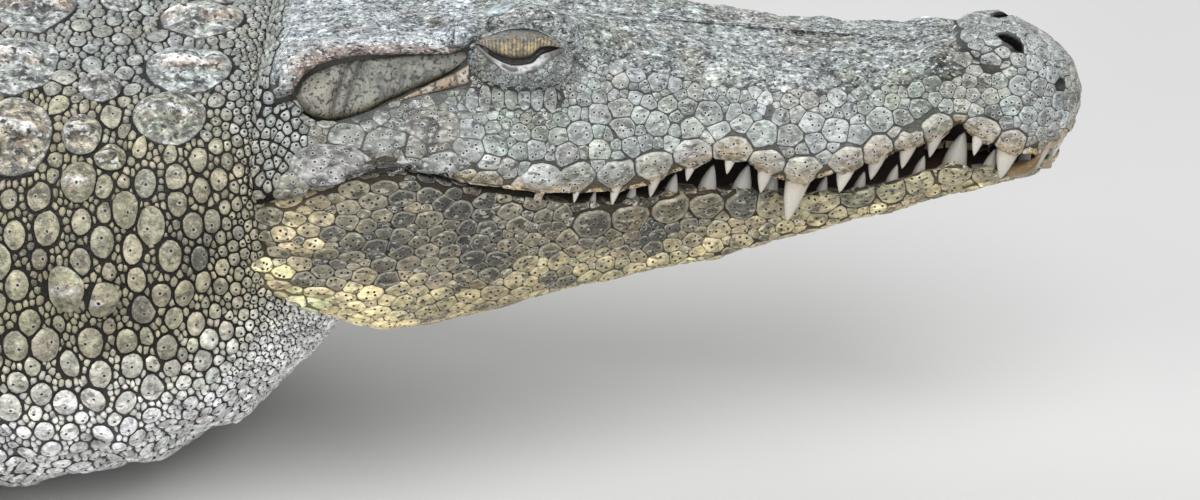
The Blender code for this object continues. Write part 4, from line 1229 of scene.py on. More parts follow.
class Ground:
    """The finished skin, ready for scales: its points, normals, faces, regions and what is known of them."""

    def __init__(self, skin, notes):
        def column(items, key, width, kind):
            values = np.empty(len(items) * width, kind)
            items.foreach_get(key, values)
            return values

        verts, faces = skin.data.vertices, skin.data.polygons
        self.points = column(verts, "co", 3, np.float32).reshape(-1, 3).astype(float)
        self.normals = column(verts, "normal", 3, np.float32).reshape(-1, 3).astype(float)
        self.faces = column(faces, "vertices", 3, np.int32).reshape(-1, 3)
        self.regions = column(faces, "material_index", 1, np.int32)
        self.rows = notes.look_up(self.points)
        a, b, c = (self.points[self.faces[:, k]] for k in range(3))
        self.areas = np.linalg.norm(np.cross(b - a, c - a), axis=1) / 2
        self.centres = (a + b + c) / 3
        self.face_rows = self.rows[self.faces[:, 0]]
        self.tree = BVHTree.FromPolygons(vectors(self.points), self.faces.tolist())

    def draw(self, random, count, weight):
        """Random places, spread by area times weight: points, normals and known rows."""
        chance = self.areas * weight
        pick = random.choice(len(chance), size=count, p=chance / chance.sum())
        share = np.sqrt(random.random((count, 1)))
        turn = random.random((count, 1))
        corner = self.faces[pick]
        bary = np.concatenate([1 - share, share * (1 - turn), share * turn], axis=1)
        points = (self.points[corner] * bary[:, :, None]).sum(axis=1)
        return points, self.shaded(pick, points), self.face_rows[pick]

    def shaded(self, faces, points):
        """The smooth normal at points on given faces."""
        corner = self.faces[faces]
        a, b, c = (self.points[corner[:, k]] for k in range(3))
        v0, v1, v2 = b - a, c - a, points - a
        d00, d01, d11 = (v0 * v0).sum(1), (v0 * v1).sum(1), (v1 * v1).sum(1)
        d20, d21 = (v2 * v0).sum(1), (v2 * v1).sum(1)
        scale = np.maximum(d00 * d11 - d01 * d01, 1e-18)
        v = np.clip((d11 * d20 - d01 * d21) / scale, 0, 1)
        w = np.clip((d00 * d21 - d01 * d20) / scale, 0, 1)
        bary = np.stack([np.clip(1 - v - w, 0, 1), v, w], axis=1)
        normal = (self.normals[corner] * bary[:, :, None]).sum(axis=1)
        return normal / np.maximum(np.linalg.norm(normal, axis=1), 1e-9)[:, None]

    def settle(self, points):
        """The nearest points of the skin, their smooth normals and known rows."""
        found = [self.tree.find_nearest(point) for point in points]
        at = np.array([row[0] for row in found])
        face = np.array([row[2] for row in found])
        return at, self.shaded(face, at), self.face_rows[face]


def backwards(points, normals):
    """The direction towards the tail along the skin, and the one across it."""
    s, _ = locate(points)
    heading = SPINE[np.clip((s / SPINE_STEP).astype(int), 0, len(SPINE) - 1), 2]
    back = np.stack([-np.cos(heading), np.sin(heading), 0 * heading], axis=1)
    back -= normals * (back * normals).sum(1)[:, None]
    weak = np.linalg.norm(back, axis=1) < 0.2
    back[weak] = np.cross(normals[weak], (0, 1, 0))
    back /= np.linalg.norm(back, axis=1)[:, None]
    return back, np.cross(normals, back)


def eye_distance(points):
    """How far points are from the nearer eye, and their places in its frame."""
    best = np.full(len(points), 9.0)
    local = np.zeros((len(points), 3))
    for side in SIDES:
        centre, forward, upward, outward = eye_frame(side)
        gap = points - centre
        away = np.linalg.norm(gap, axis=1)
        nearer = away < best
        best = np.where(nearer, away, best)
        local[nearer] = np.stack([gap @ forward, gap @ upward, gap @ outward], axis=1)[nearer]
    return best, local


# The lids' edges in the eye's frame: (forward, up), from the rear corner to the front corner
SLIT_CURVE = (
    (-0.023, 0.0055), (-0.0124, -0.0022), (-0.0027, -0.0049), (0.0049, -0.0038), (0.0113, 0.0014), (0.0215, 0.003),
)
CREASE_CURVE = (
    (-0.0235, 0.007), (-0.0135, 0.0108), (-0.003, 0.013), (0.006, 0.0126), (0.0135, 0.0098), (0.0225, 0.0035),
)
LOWER_CURVE = (
    (-0.0235, 0.003), (-0.0145, -0.007), (-0.003, -0.013), (0.006, -0.0122), (0.015, -0.006), (0.023, 0.0016),
)


def lid_share(local):
    """Below 0 inside the lids' outline, above 0 outside, in metres."""
    a, b = local[:, 0], local[:, 1]
    top = np.interp(a, *zip(*CREASE_CURVE))
    low = np.interp(a, *zip(*LOWER_CURVE))
    return np.maximum(np.maximum(b - top, low - b), np.abs(a) - 0.0225)


PLATE, FILL, GRAIN, SHIELD, WHORL, SQUARE_PLATE, BROAD, HOLE = range(8)  # kinds of scale
# How close two scales may stand, as a share of their half-widths together, by the first one's kind
SPACING = (0.93, 0.9, 0.9, 0.94, 0.9, 0.9, 0.72, 0.9)
BIG_PLATE_SPACING = 0.76
SEAM_SPACING = 0.7  # share of its half-width from which head and jaw clear each other's scales
TUCK_STEPS, TUCK_BY = 14, 0.9  # how often and by how much a cell that reaches too far is cut back


def plan(points, rows, kind, sizes):
    """Half-width, stretch along the body and height of an ordinary scale at rows of places."""
    region, s, run = rows[:, 0], rows[:, 1], rows[:, 2]
    away, _ = eye_distance(points)
    plate, crown = sizes.plate, is_crown(region, s, run)
    head = np.full(len(s), plate)
    head = np.where((run >= 2.9) & (run < 4.2) & (s > 0.075) & (s < 0.29), plate * 0.66, head)
    head = np.where(s < 0.075, plate * 0.74, head)
    head = head * (1 + 0.55 * smooth(s, 0.325, 0.35) * (run > 4.6))
    head = np.where((s > 0.33) & (run <= 4.7), plate * 0.6, head)
    head = head * np.interp(away, (0.02, 0.034, 0.05), (0.28, 0.42, 1.0))
    head = np.where(crown, 0.0016, head)
    jaw = np.interp(s, (0.01, 0.1, 0.3, 0.47), (0.0036, 0.0044, 0.0045, 0.0043))
    jaw = np.where(run > 7.2, jaw * 0.85, jaw)
    around = np.abs(run - 0.5) * 2
    size = np.interp(
        s, (0.44, 0.456, 0.47, 0.51, 0.66, 0.76, 0.84, 1.5, 2.9),
        (0.003, 0.0034, 0.005, sizes.oval * 1.2, sizes.oval * 1.3, 0.0094, 0.0092, 0.008, 0.0045),
    )
    swell = np.interp(around, (0.0, 0.34, 0.46, 0.62, 0.78, 1.0), (0.78, 0.86, 1.24, 1.2, 1.02, 0.9))
    low_neck = np.interp(s, (0.455, 0.475, 0.5, 0.53), (0.0, 0.3, 0.3, 0.0))
    swell = swell * (1 + smooth(around, 0.55, 0.75) * low_neck)
    size = np.where((s > 0.465) & (s < 0.7), size * swell, size)
    limb = np.interp(s, (0.0, 1.0, 2.0, 3.0, 4.0), (0.0085, 0.0078, 0.0062, 0.0046, 0.0038))
    cheek = (s > MOUTH_CORNER) & (run > 4.7)
    regions = [region == part for part in (HEAD, JAW, TORSO, LIMB)]
    radius = np.select(regions, [head, jaw, size, limb])
    stretch = np.select(regions, [
        np.where(crown, np.where(s < 0.33, 2.1, 1.3), 1.1),
        np.interp(s, (0.02, 0.3, 0.4), (1.15, 1.3, 1.55)),
        np.where(s < NECK_LAST, np.where(around < 0.34, 0.95, 0.74), 1.22),
        1.15,
    ])
    height = np.select(regions, [
        np.where(crown, 0.0005, np.where(cheek, 0.0014, 0.0011)), 0.0012,
        np.where(s < NECK_LAST, 0.0022, 0.0017), 0.0012,
    ])
    if kind == FILL:
        radius = np.where(regions[TORSO] & (s < 0.74), radius * 0.62, radius * 0.66)
    if kind == GRAIN:
        small = np.where(s < NECK_LAST, sizes.granule * 0.78, sizes.granule * 1.15)
        radius = np.where(region >= TORSO, np.minimum(small, radius * 0.45), radius * 0.45)
    return radius, stretch, height


class Sites:
    """Places of scales, kept as arrays of equal length."""

    KEYS = ("points", "normals", "rows", "radius", "stretch", "height", "kind", "keel")

    def __init__(self, **arrays):
        for key in self.KEYS:
            setattr(self, key, arrays[key])

    def pick(self, which):
        return Sites(**{key: getattr(self, key)[which] for key in self.KEYS})

    @staticmethod
    def join(groups):
        return Sites(**{key: np.concatenate([getattr(group, key) for group in groups]) for key in Sites.KEYS})

    def __len__(self):
        return len(self.radius)


def fixed_sites(ground, points, radius, stretch, height, kind, keel):
    """Sites at given places, moved on to the skin."""
    at, normals, rows = ground.settle(points)
    ones = np.ones(len(at))
    return Sites(
        points=at, normals=normals, rows=rows, radius=radius * ones, stretch=stretch * ones,
        height=height * ones, kind=np.full(len(at), kind), keel=keel * ones,
    )


# Shields behind the head: (s, distance from the midline, half-width, stretch along the body, keel height)
NECK_SHIELDS = (
    (0.484, 0.0305, 0.0275, 0.95, 0.004), (0.487, 0.082, 0.0225, 0.95, 0.005), (0.533, 0.054, 0.0165, 0.76, 0.0034),
    (0.537, 0.102, 0.0145, 0.78, 0.003), (0.517, 0.117, 0.0095, 1.0, 0.002), (0.58, 0.036, 0.034, 0.72, 0.006),
    (0.574, 0.104, 0.029, 0.8, 0.0066), (0.632, 0.034, 0.032, 0.74, 0.006), (0.627, 0.097, 0.027, 0.82, 0.006),
)
# Broad plates of the cheek: (s, steps down the side of the head, half-width, stretch, height)
CHEEK_PLATES = (
    (0.405, 5.65, 0.014, 1.85, 0.0028), (0.354, 5.15, 0.0108, 1.6, 0.002), (0.347, 6.35, 0.0078, 1.75, 0.0018),
    (0.378, 7.0, 0.007, 2.1, 0.0018), (0.4285, 7.0, 0.0085, 1.05, 0.0024),
)
# Loose shields on the side of the neck: (s, place around, half-width, stretch)
FLANK_SHIELDS = ((0.548, 0.21, 0.015, 0.95), (0.526, 0.222, 0.0115, 0.95), (0.538, 0.125, 0.013, 0.82))


def top_of(s):
    return along(BODY, 2, s)


def lip_sites(ground):
    """Plates over the teeth, under the eyes and on the cheeks, and places kept free for nostrils and pits."""
    groups = []
    rows = (UPPER_TEETH, head_section, 7.05, 0.0084), (LOWER_TEETH, jaw_section, 2.95, 0.0088)
    for teeth, section, run, radius in rows:
        at = np.array([s for s, _ in teeth if s > 0.03])
        stretch = 0.5 * np.gradient(at) / radius
        for side in SIDES:
            start = on_side(section, at, np.full(len(at), run), side)
            groups.append(fixed_sites(ground, start, radius, stretch, 0.0019, PLATE, 0))
    under_eye = [(s, 4.62, 0.0078, 0.46, 0.0013) for s in np.linspace(0.292, 0.334, 7)]
    for kind, table in ((PLATE, under_eye), (BROAD, CHEEK_PLATES)):
        s, run, radius, stretch, height = np.array(table).T
        for side in SIDES:
            start = on_side(head_section, s, run, side)
            groups.append(fixed_sites(ground, start, radius, stretch, height, kind, 0))
    for side in SIDES:
        centre, way, out = nostril_frame(side)
        spots = [(point, out, 0.0046) for point in centre + np.outer((-0.0042, 0, 0.0042), way)]
        spots += [(*head_spot(s, run, side), radius + 0.0006) for s, run, radius, _ in PITS]
        at, normals, radii = (np.array(column) for column in zip(*spots))
        holes = fixed_sites(ground, at, radii, 1, 0.001, HOLE, 0)
        holes.points, holes.normals = at, normals
        groups.append(holes)
        groups.append(fixed_sites(ground, eye_boss(side)[None], 0.0072, 1.1, 0.002, PLATE, 0))
    return groups


def shield_sites(ground, sizes):
    """Keeled shields of the nape and back, square belly plates and the rings of the tail."""
    groups = lip_sites(ground)
    for s, off, radius, stretch, keel in NECK_SHIELDS:
        for side in SIDES:
            start = place(s, side * off, top_of(np.array([s])) + 0.01)
            groups.append(fixed_sites(ground, start, radius, stretch, 0.0032, SHIELD, keel))
    for s, angle, radius, stretch in FLANK_SHIELDS:
        for v in (angle, 1 - angle):
            at = body_section(np.array([s]), np.array([v]))
            start = place(s, at[:, 0], at[:, 1])
            groups.append(fixed_sites(ground, start, radius, stretch, 0.003, PLATE, 0.002))
    pitch = 2.15 * sizes.shield
    for k, s in enumerate(np.arange(0.7, TRUNK_END + 0.03, pitch)):
        width = 0.62 * along(BODY, 1, np.array([s]))[0]
        count = int(np.clip(round(2 * width / (2.12 * sizes.shield)), 3, 8))
        if s < 0.74:
            count = 4
        off = (np.arange(count) - (count - 1) / 2) * 2.12 * sizes.shield
        start = place(s + 0.12 * np.abs(off) * (k % 2 - 0.5), off, top_of(np.array([s])) + 0.01)
        keel = 0.0055 - 0.012 * np.abs(off)
        groups.append(fixed_sites(ground, start, sizes.shield, 1.03, 0.003, SHIELD, keel))
    for s in np.arange(0.74, TRUNK_END, 2.05 * sizes.belly):
        v = 0.5 + (np.arange(9) - 4) * 0.03
        at = body_section(np.full(9, s), v)
        off = (np.arange(9) - 4) * 2.05 * sizes.belly
        start = place(s, off, np.interp(np.abs(off), (0, 0.09, 0.13), (0.0, 0.0, at[0, 1])))
        groups.append(fixed_sites(ground, start, sizes.belly, 1.0, 0.0009, SQUARE_PLATE, 0))
    rows = np.arange(CREST_PAIRS_FROM - 0.5 * CREST_PITCH, CREST_END, CREST_PITCH / 2)
    for k, s in enumerate(rows):
        angles = np.linspace(0, 1, 241)
        ring = body_section(np.full(241, s), angles)
        arc = np.concatenate([[0], np.cumsum(np.linalg.norm(np.diff(ring, axis=0), axis=1))])
        high = min(sizes.whorl, 0.16 * math.sqrt(arc[-1]) * 0.1 + 0.004)
        count = max(6, int(round(arc[-1] / (2.05 * high))))
        v = np.interp((np.arange(count) + 0.5 * (k % 2)) / count * arc[-1], arc, angles)
        at = body_section(np.full(count, s), v)
        stretch, keel = CREST_PITCH / 4 / high * 0.99, 0.0008 * (np.abs(v - 0.5) > 0.2)
        start = place(s, at[:, 0], at[:, 1])
        groups.append(fixed_sites(ground, start, high * 0.98, stretch, 0.0014, WHORL, keel))
    return Sites.join(groups)


def ordinary_sites(ground, sizes, random):
    """Candidates for the irregular scales, largest kind first."""
    groups = []
    rows = ground.face_rows
    region, s, run = ground.regions, rows[:, 1], rows[:, 2]
    off = np.abs(ground.centres[:, 1] - Y_AXIS)
    edge = np.where(region == HEAD, along(LIP, 1, s), along(JAW_RIM, 1, s))
    hidden = (s < 0.44) & ((s < 0.338) | (off < edge - 0.007))
    inner = (region == HEAD) & (run > LIP_RUN + 0.12) | (region == JAW) & (run < JAW_TOP_RUN - 0.05)
    bare = hidden & inner
    under = (region == TORSO) & (ground.centres[:, 2] < 0.0015) & (s > NECK_LAST)
    for kind, crowd in ((PLATE, 12), (FILL, 13), (GRAIN, 13)):
        radius, stretch, _ = plan(ground.centres, rows, kind, sizes)
        weight = np.where(bare | under, 0, 1 / (radius**2 * stretch))
        loose = (region == TORSO) & (s < 0.76)
        if kind == PLATE:
            above = np.interp(np.abs(run - 0.5) * 2, (0.62, 0.76), (0.95, 0.3))
            share = np.where(loose, above, 1.0)
        else:
            share = np.where(loose, 0.9, 1.0) if kind == FILL else np.where(region <= JAW, 0.8, 1.0)
            share = share * ~is_crown(region, s, run)
        weight = weight * share
        count = int((ground.areas * weight).sum() / math.pi * crowd)
        points, normals, known = ground.draw(random, count, weight)
        radius, stretch, height = plan(points, known, kind, sizes)
        vary = random.uniform(*((0.8, 1.18) if kind == PLATE else (0.86, 1.22)), count)
        groups.append(Sites(
            points=points, normals=normals, rows=known, radius=radius * vary, stretch=stretch,
            height=height * (1, 0.85, 0.7)[kind], kind=np.full(count, kind), keel=np.zeros(count),
        ))
    return Sites.join(groups)


def thin_out(sites, first):
    """Keeps the first sites and then every candidate that is clear of those kept before it."""
    points, radius, stretch = sites.points, sites.radius, sites.stretch
    back, across = backwards(points, sites.normals)
    tree = tree_of(points)
    alive = np.ones(len(sites), bool)
    kept = []
    spacing = np.choose(sites.kind, SPACING)
    spacing = np.where((sites.kind == PLATE) & (radius > BIG_PLATE), BIG_PLATE_SPACING, spacing)
    part = sites.rows[:, 0]
    for i in range(len(sites)):
        if not alive[i]:
            continue
        kept.append(i)
        reach = radius[i] * stretch[i]
        found = tree.find_range(points[i], 1.1 * (reach + max(reach, 0.006)))
        near = np.fromiter((row[1] for row in found), int, len(found))
        near = near[(near > max(i, first - 1)) & (sites.normals[near] @ sites.normals[i] > 0.1)]
        gap = points[near] - points[i]
        a, b, c = gap @ back[i] / stretch[i], gap @ across[i], gap @ sites.normals[i]
        close = np.sqrt(a * a + b * b + 0.3 * c * c) < spacing[i] * (radius[i] + radius[near])
        seam = (part[near] != part[i]) & (np.maximum(part[near], part[i]) == max(HEAD, JAW))
        close &= ~seam | (np.linalg.norm(gap, axis=1) < SEAM_SPACING * radius[near])
        alive[near[close]] = False
    return sites.pick(np.array(kept))


def cell_shapes(sites, chosen, segments, gap, tree):
    """How far each chosen scale reaches in every direction, up to half-way to its neighbours."""
    points, radius, stretch = sites.points, sites.radius, sites.stretch
    back, across = backwards(points[chosen], sites.normals[chosen])
    angles = np.arange(segments) * 2 * np.pi / segments
    reach = np.empty((len(chosen), segments))
    region, s, run = sites.rows[:, 0], sites.rows[:, 1], sites.rows[:, 2]
    plated, neck = region <= JAW, s < NECK_LAST
    plate, shield, broad = sites.kind == PLATE, sites.kind == SHIELD, sites.kind == BROAD
    regular = np.isin(sites.kind, (WHORL, SQUARE_PLATE, SHIELD))
    # how straight the outline is, how far a cell may reach, and the bare skin around it
    sharp = np.select([regular | plated, plate & (radius > BIG_PLATE), plate], [44.0, 24.0, 12.0], 8.0)
    cap = np.select([broad, plated, regular, neck], [1.5, 2.4, 1.16, 1.75], 1.5) * radius
    crown = is_crown(region, s, run)
    gaps = gap * np.select([crown, plated, neck & shield, neck], [0.1, 0.05, 1.1, 0.66], 0.8)
    boxy = (np.abs(np.cos(angles)) ** 3.6 + np.abs(np.sin(angles)) ** 3.6) ** (-1 / 3.6)
    for k, i in enumerate(chosen):
        found = tree.find_range(points[i], cap[i] * stretch[i] + 0.01)
        near = np.fromiter((row[1] for row in found), int, len(found))
        near = near[(near != i) & (sites.normals[near] @ sites.normals[i] > 0.1)]
        near = near[~(plated[near] & plated[i] & (region[near] != region[i]))]
        span = points[near] - points[i]
        a, b = span @ back[k] / stretch[i], span @ across[k]
        away = np.maximum(np.hypot(a, b), 1e-5)
        border = (away**2 + radius[i] ** 2 - radius[near] ** 2) / (2 * away) - gaps[i] / 2
        border = np.maximum(border, 0.15 * radius[i])
        facing = np.maximum(np.cos(angles[:, None] - np.arctan2(b, a)), 0)
        limit = cap[i] * (boxy if regular[i] else 1.0)
        crowd = ((facing / border) ** sharp[i]).sum(axis=1) + (1 / limit) ** sharp[i]
        reach[k] = crowd ** (-1 / sharp[i])
    return reach, back, across


def tucked(ground, sites, reach, back, across):
    """Cells of the head and jaw, cut back where they would reach over an edge on to another part."""
    segments = reach.shape[1]
    turn = np.arange(segments) * 2 * np.pi / segments
    way = np.cos(turn)[None, :, None] * (back * sites.stretch[:, None])[:, None]
    way = (way + np.sin(turn)[None, :, None] * across[:, None]).reshape(-1, 3)
    flat = reach.reshape(-1).copy()
    site = np.repeat(np.arange(len(sites)), segments)
    todo = np.flatnonzero(np.isin(sites.rows[site, 0], (HEAD, JAW)))
    for _ in range(TUCK_STEPS):
        if not len(todo):
            break
        target = sites.points[site[todo]] + way[todo] * flat[todo, None]
        found = [ground.tree.find_nearest(point) for point in target]
        region = ground.regions[[row[2] for row in found]]
        wide = flat[todo] * np.linalg.norm(way[todo], axis=1)
        other = np.where(region <= JAW, region, HEAD) != sites.rows[site[todo], 0]
        other &= (region <= JAW) | (sites.rows[site[todo], 1] < MOUTH_CORNER)
        astray = other | (np.array([row[3] for row in found]) > 0.42 * wide + 0.0006)
        todo = todo[astray]
        flat[todo] *= TUCK_BY
    return flat.reshape(reach.shape)


# ---------------------------------------------------------------- meshes of scales


def scale_mesh(name, ground, sites, reach, back, across, rings, colours, pits=0.0):
    """Domed scales as one mesh, each laid on the skin, with its edge just under it."""
    count, segments = reach.shape
    share = np.array([0.0] + list(rings))
    steps = len(rings)
    angle = np.arange(segments) * 2 * np.pi / segments
    a = (reach * np.cos(angle))[:, None, :] * share[None, 1:, None]
    b = (reach * np.sin(angle))[:, None, :] * share[None, 1:, None]
    a = np.concatenate([np.zeros((count, 1)), a.reshape(count, -1)], axis=1)
    b = np.concatenate([np.zeros((count, 1)), b.reshape(count, -1)], axis=1)
    f = np.concatenate([[0.0], np.repeat(share[1:], segments)])
    spread = sites.points[:, None] + (a * sites.stretch[:, None])[:, :, None] * back[:, None]
    spread = (spread + b[:, :, None] * across[:, None]).reshape(-1, 3)
    at, normal, _ = ground.settle(spread)
    flat = np.isin(sites.rows[:, 0], (HEAD, JAW))
    power = np.where(flat, 7.0, 3.4)[:, None]
    dome = np.sqrt(np.clip(1 - f[None] ** power, 0, 1)) * sites.height[:, None]
    width = sites.radius[:, None]
    ridge = np.exp(-((b / (0.17 * width)) ** 2)) + 0.35 * np.exp(-((b / (0.45 * width)) ** 2))
    ridge *= np.clip(1 - (a / (1.02 * width)) ** 2, 0, 1) ** 0.6 * (1 + 0.25 * a / width)
    lift = dome + sites.keel[:, None] * ridge * np.clip(1 - f[None] ** 6, 0, 1)
    edge = np.where(f > 0.999, -0.0006, 0.0)[None]
    lift = (lift + edge).reshape(-1)
    if pits:
        inner = np.tile(np.clip(1 - f**4, 0, 1), count)
        lift = lift + pits * inner * (cloud(at, 0.0042, 21) * 0.7 + cloud(at, 0.0019, 22) * 0.5)
    points = at + normal * lift[:, None]
    points[:, 2] = np.maximum(points[:, 2], 0.0)
    size = 1 + steps * segments
    first = 1 + np.arange(segments)
    turned = np.roll(first, -1)
    fan = np.stack([np.zeros(segments, int), first, turned], axis=1)
    bands = [
        np.stack([first, first + segments, turned + segments, turned], axis=1) + k * segments
        for k in range(steps - 1)
    ]
    band = np.concatenate(bands)
    start = (np.arange(count) * size)[:, None, None]
    piece = joined(name, points, (fan[None] + start).reshape(-1, 3), (band[None] + start).reshape(-1, 4))
    random = np.random.default_rng(len(name) + count)
    set_values(piece, "Rim", "FLOAT", np.tile(f, count))
    random.random(count)  # drawn first and not used, so that the draws below stay as they are
    tone = markings_and_painted_light(sites.points, sites.rows, colours)
    # Painted shade: shields on the neck darker the lower they sit on its side; those of the back darker by a fixed
    # share.
    upright = np.abs(sites.rows[:, 2] - 0.5) * 2
    near_neck = np.interp(upright, (0.72, 0.9), (0.5, 0.98))
    deeper = np.where(sites.rows[:, 1] < NECK_LAST, near_neck, 0.8)
    tone = tone * np.where(sites.kind == SHIELD, deeper, 1.0)[:, None]
    vary = 0.2 if "crown" in name else 0.09 if "jaw" in name else 0.14
    tone *= random.normal(1, vary, (count, 1)) * (1 + random.normal(0, 0.018, (count, 3)))
    tone = np.repeat(tone, size, axis=0)
    tone *= (1 + 0.3 * cloud(at, 0.0065, 41) + 0.28 * cloud(at, 0.003, 42))[:, None]
    own = np.repeat(sites.kind, size)
    dark = 0.8 * smooth(cloud(at, 0.0026, 44) + 0.5 * cloud(at, 0.009, 45), 0.12, 0.42)
    dark = dark * np.select([own == SHIELD, own == BROAD], [1.0, 0.85], 0.0)
    tone = mixed(tone, (0.04, 0.043, 0.047), dark)
    lip = along(LIP, 2, X_TIP - at[:, 0]) + MOUTH_HEIGHT
    ochre = smooth(lip + 0.0078 + 0.0035 * cloud(at, 0.005, 46) - at[:, 2], -0.001, 0.007)
    ochre *= (at[:, 0] > X_TIP - MOUTH_CORNER) & (np.repeat(sites.rows[:, 0], size) == HEAD)
    tone = mixed(tone, (0.33, 0.235, 0.115), 0.7 * ochre)
    crest = (ridge * (sites.keel[:, None] > 0.001)).reshape(-1)
    worn = cloud(at, 0.008, 43)
    # Painted shade: scales darkened along the creases of the face.
    if flat.any():
        tone *= (1 - 0.8 * crease_share(at))[:, None]
    # On keeled scales the brown layer is the keel's own streak; the pale layer along the keel's top is a painted
    # highlight. The worn noise breaks up both.
    tone = layered(
        tone, ((0.235, 0.165, 0.11), 0.75 * smooth(crest, 0.18, 0.45) * smooth(worn, -0.4, 0.3)),
        ((0.64, 0.63, 0.61), 0.85 * smooth(crest, 0.7, 1.1) * smooth(worn, -0.7, 0.0)),
    )
    set_values(piece, "Marking", "FLOAT_COLOR", np.clip(tone, 0.002, 0.95))
    shift = random.uniform(-0.28, 0.28, (count, 2)) * sites.radius[:, None]
    local = np.stack([
        (a * sites.stretch[:, None] - shift[:, :1]).reshape(-1), (b - shift[:, 1:]).reshape(-1),
        np.repeat(random.random(count), size),
    ], axis=1)
    set_values(piece, "Scale", "FLOAT_VECTOR", local)
    s, run, side = sites.rows[:, 1], sites.rows[:, 2], sites.rows[:, 3]
    signed = np.where(sites.rows[:, 0] == TORSO, run, 0.5 + 0.5 * side * run / 12)
    unwrap = 0.02 + 0.96 * np.stack([(x - x.min()) / max(np.ptp(x), 1e-6) for x in (s, signed)], axis=1)
    patch = np.stack([a, b], axis=2) / (2.6 * sites.radius[:, None, None]) * 0.003
    set_unwrap(piece, (unwrap[:, None] + patch).reshape(-1, 2))
    return piece


# ---------------------------------------------------------------- node groups


def new_group(name, inputs, outputs):
    tree = bpy.data.node_groups.new(name, "ShaderNodeTree")
    for label, kind, value in inputs:
        socket = tree.interface.new_socket(label, in_out="INPUT", socket_type=kind)
        if value is not None:
            socket.default_value = value
    for label, kind in outputs:
        tree.interface.new_socket(label, in_out="OUTPUT", socket_type=kind)
    return tree, tree.nodes.new("NodeGroupInput").outputs, tree.nodes.new("NodeGroupOutput").inputs


COLOUR, VALUE, PLACE = "NodeSocketColor", "NodeSocketFloat", "NodeSocketVector"


def node(tree, kind, values=None, **settings):
    """Adds a node: settings are its own, values go to its sockets, as numbers or as links."""
    made = tree.nodes.new(kind)
    for key, value in settings.items():
        setattr(made, key, value)
    for key, value in (values or {}).items():
        target = made.inputs[key]
        if isinstance(value, bpy.types.NodeSocket):
            tree.links.new(value, target)
        else:
            target.default_value = value
    return made


def maths(tree, operation, a, b=0.0, clamp=False):
    return node(tree, "ShaderNodeMath", {0: a, 1: b}, operation=operation, use_clamp=clamp).outputs[0]


def ramp(tree, value, low, high, to_low=0.0, to_high=1.0):
    made = node(tree, "ShaderNodeMapRange", {0: value, 1: low, 2: high, 3: to_low, 4: to_high})
    made.interpolation_type = "SMOOTHSTEP"
    return made.outputs[0]


def blend(tree, share, a, b, how="MIX"):
    made = node(tree, "ShaderNodeMix", {0: share, 6: a, 7: b}, data_type="RGBA", blend_type=how)
    return made.outputs[2]


def stretched(tree, given):
    """A group's coordinates, drawn out by its Along."""
    values = {0: given["Place"], 1: given["Along"]}
    return node(tree, "ShaderNodeVectorMath", values, operation="MULTIPLY").outputs[0]


def noise(tree, where, scale, detail):
    values = {"Vector": where, "Scale": scale, "Detail": detail}
    return node(tree, "ShaderNodeTexNoise", values).outputs["Fac"]


def group_flecks():
    """Small soft spots of another colour, strewn over a surface."""
    tree, given, out = new_group("flecks", (
        ("Colour", COLOUR, None), ("Place", PLACE, None), ("Fleck", COLOUR, None), ("Density", VALUE, 250.0),
        ("Threshold", VALUE, 0.6), ("Amount", VALUE, 0.6), ("Along", PLACE, (1.0, 1.0, 1.0))), (("Colour", COLOUR),))
    drawn = stretched(tree, given)
    spots = noise(tree, drawn, given["Density"], 3.0)
    high = maths(tree, "ADD", given["Threshold"], 0.07)
    share = ramp(tree, spots, given["Threshold"], high)
    share = maths(tree, "MULTIPLY", share, given["Amount"])
    tree.links.new(blend(tree, share, given["Colour"], given["Fleck"]), out["Colour"])


def group_pores():
    """Dark pores, each in a pale ring, from a scale's own flat coordinates: strewn, or one to a scale."""
    tree, given, out = new_group("pores", (
        ("Colour", COLOUR, None), ("Scale", PLACE, None), ("Density", VALUE, 300.0), ("Size", VALUE, 0.0005),
        ("Ring", VALUE, 0.35), ("Single", VALUE, 0.0), ("Rim", VALUE, 0.0)), (("Colour", COLOUR), ("Depth", VALUE)))
    split = node(tree, "ShaderNodeSeparateXYZ", {0: given["Scale"]})
    shift = maths(tree, "MULTIPLY", split.outputs[2], 0.37)
    values = {0: maths(tree, "ADD", split.outputs[0], shift), 1: split.outputs[1]}
    moved = node(tree, "ShaderNodeCombineXYZ", values)
    cells = node(
        tree, "ShaderNodeTexVoronoi",
        {"Vector": moved.outputs[0], "Scale": given["Density"], "Randomness": 0.75}, voronoi_dimensions="2D",
    )
    strewn = maths(tree, "DIVIDE", cells.outputs["Distance"], given["Density"])
    flat = node(tree, "ShaderNodeCombineXYZ", {0: split.outputs[0], 1: split.outputs[1]})
    own = node(tree, "ShaderNodeVectorMath", {0: flat.outputs[0]}, operation="LENGTH").outputs["Value"]
    away = node(tree, "ShaderNodeMix", {0: given["Single"], 2: strewn, 3: own}, data_type="FLOAT").outputs[0]
    wide = maths(tree, "MULTIPLY", given["Size"], 1.5)
    inside = ramp(tree, given["Rim"], 0.7, 0.86, 1.0, 0.0)
    pore = maths(tree, "MULTIPLY", ramp(tree, away, given["Size"], wide, 1.0, 0.0), inside)
    far = maths(tree, "MULTIPLY", given["Size"], 3.2)
    ring = maths(tree, "MULTIPLY", ramp(tree, away, wide, far, 1.0, 0.0), given["Ring"])
    pale = blend(tree, ring, given["Colour"], (0.74, 0.74, 0.7, 1))
    tree.links.new(blend(tree, pore, pale, (0.01, 0.009, 0.008, 1)), out["Colour"])
    tree.links.new(pore, out["Depth"])


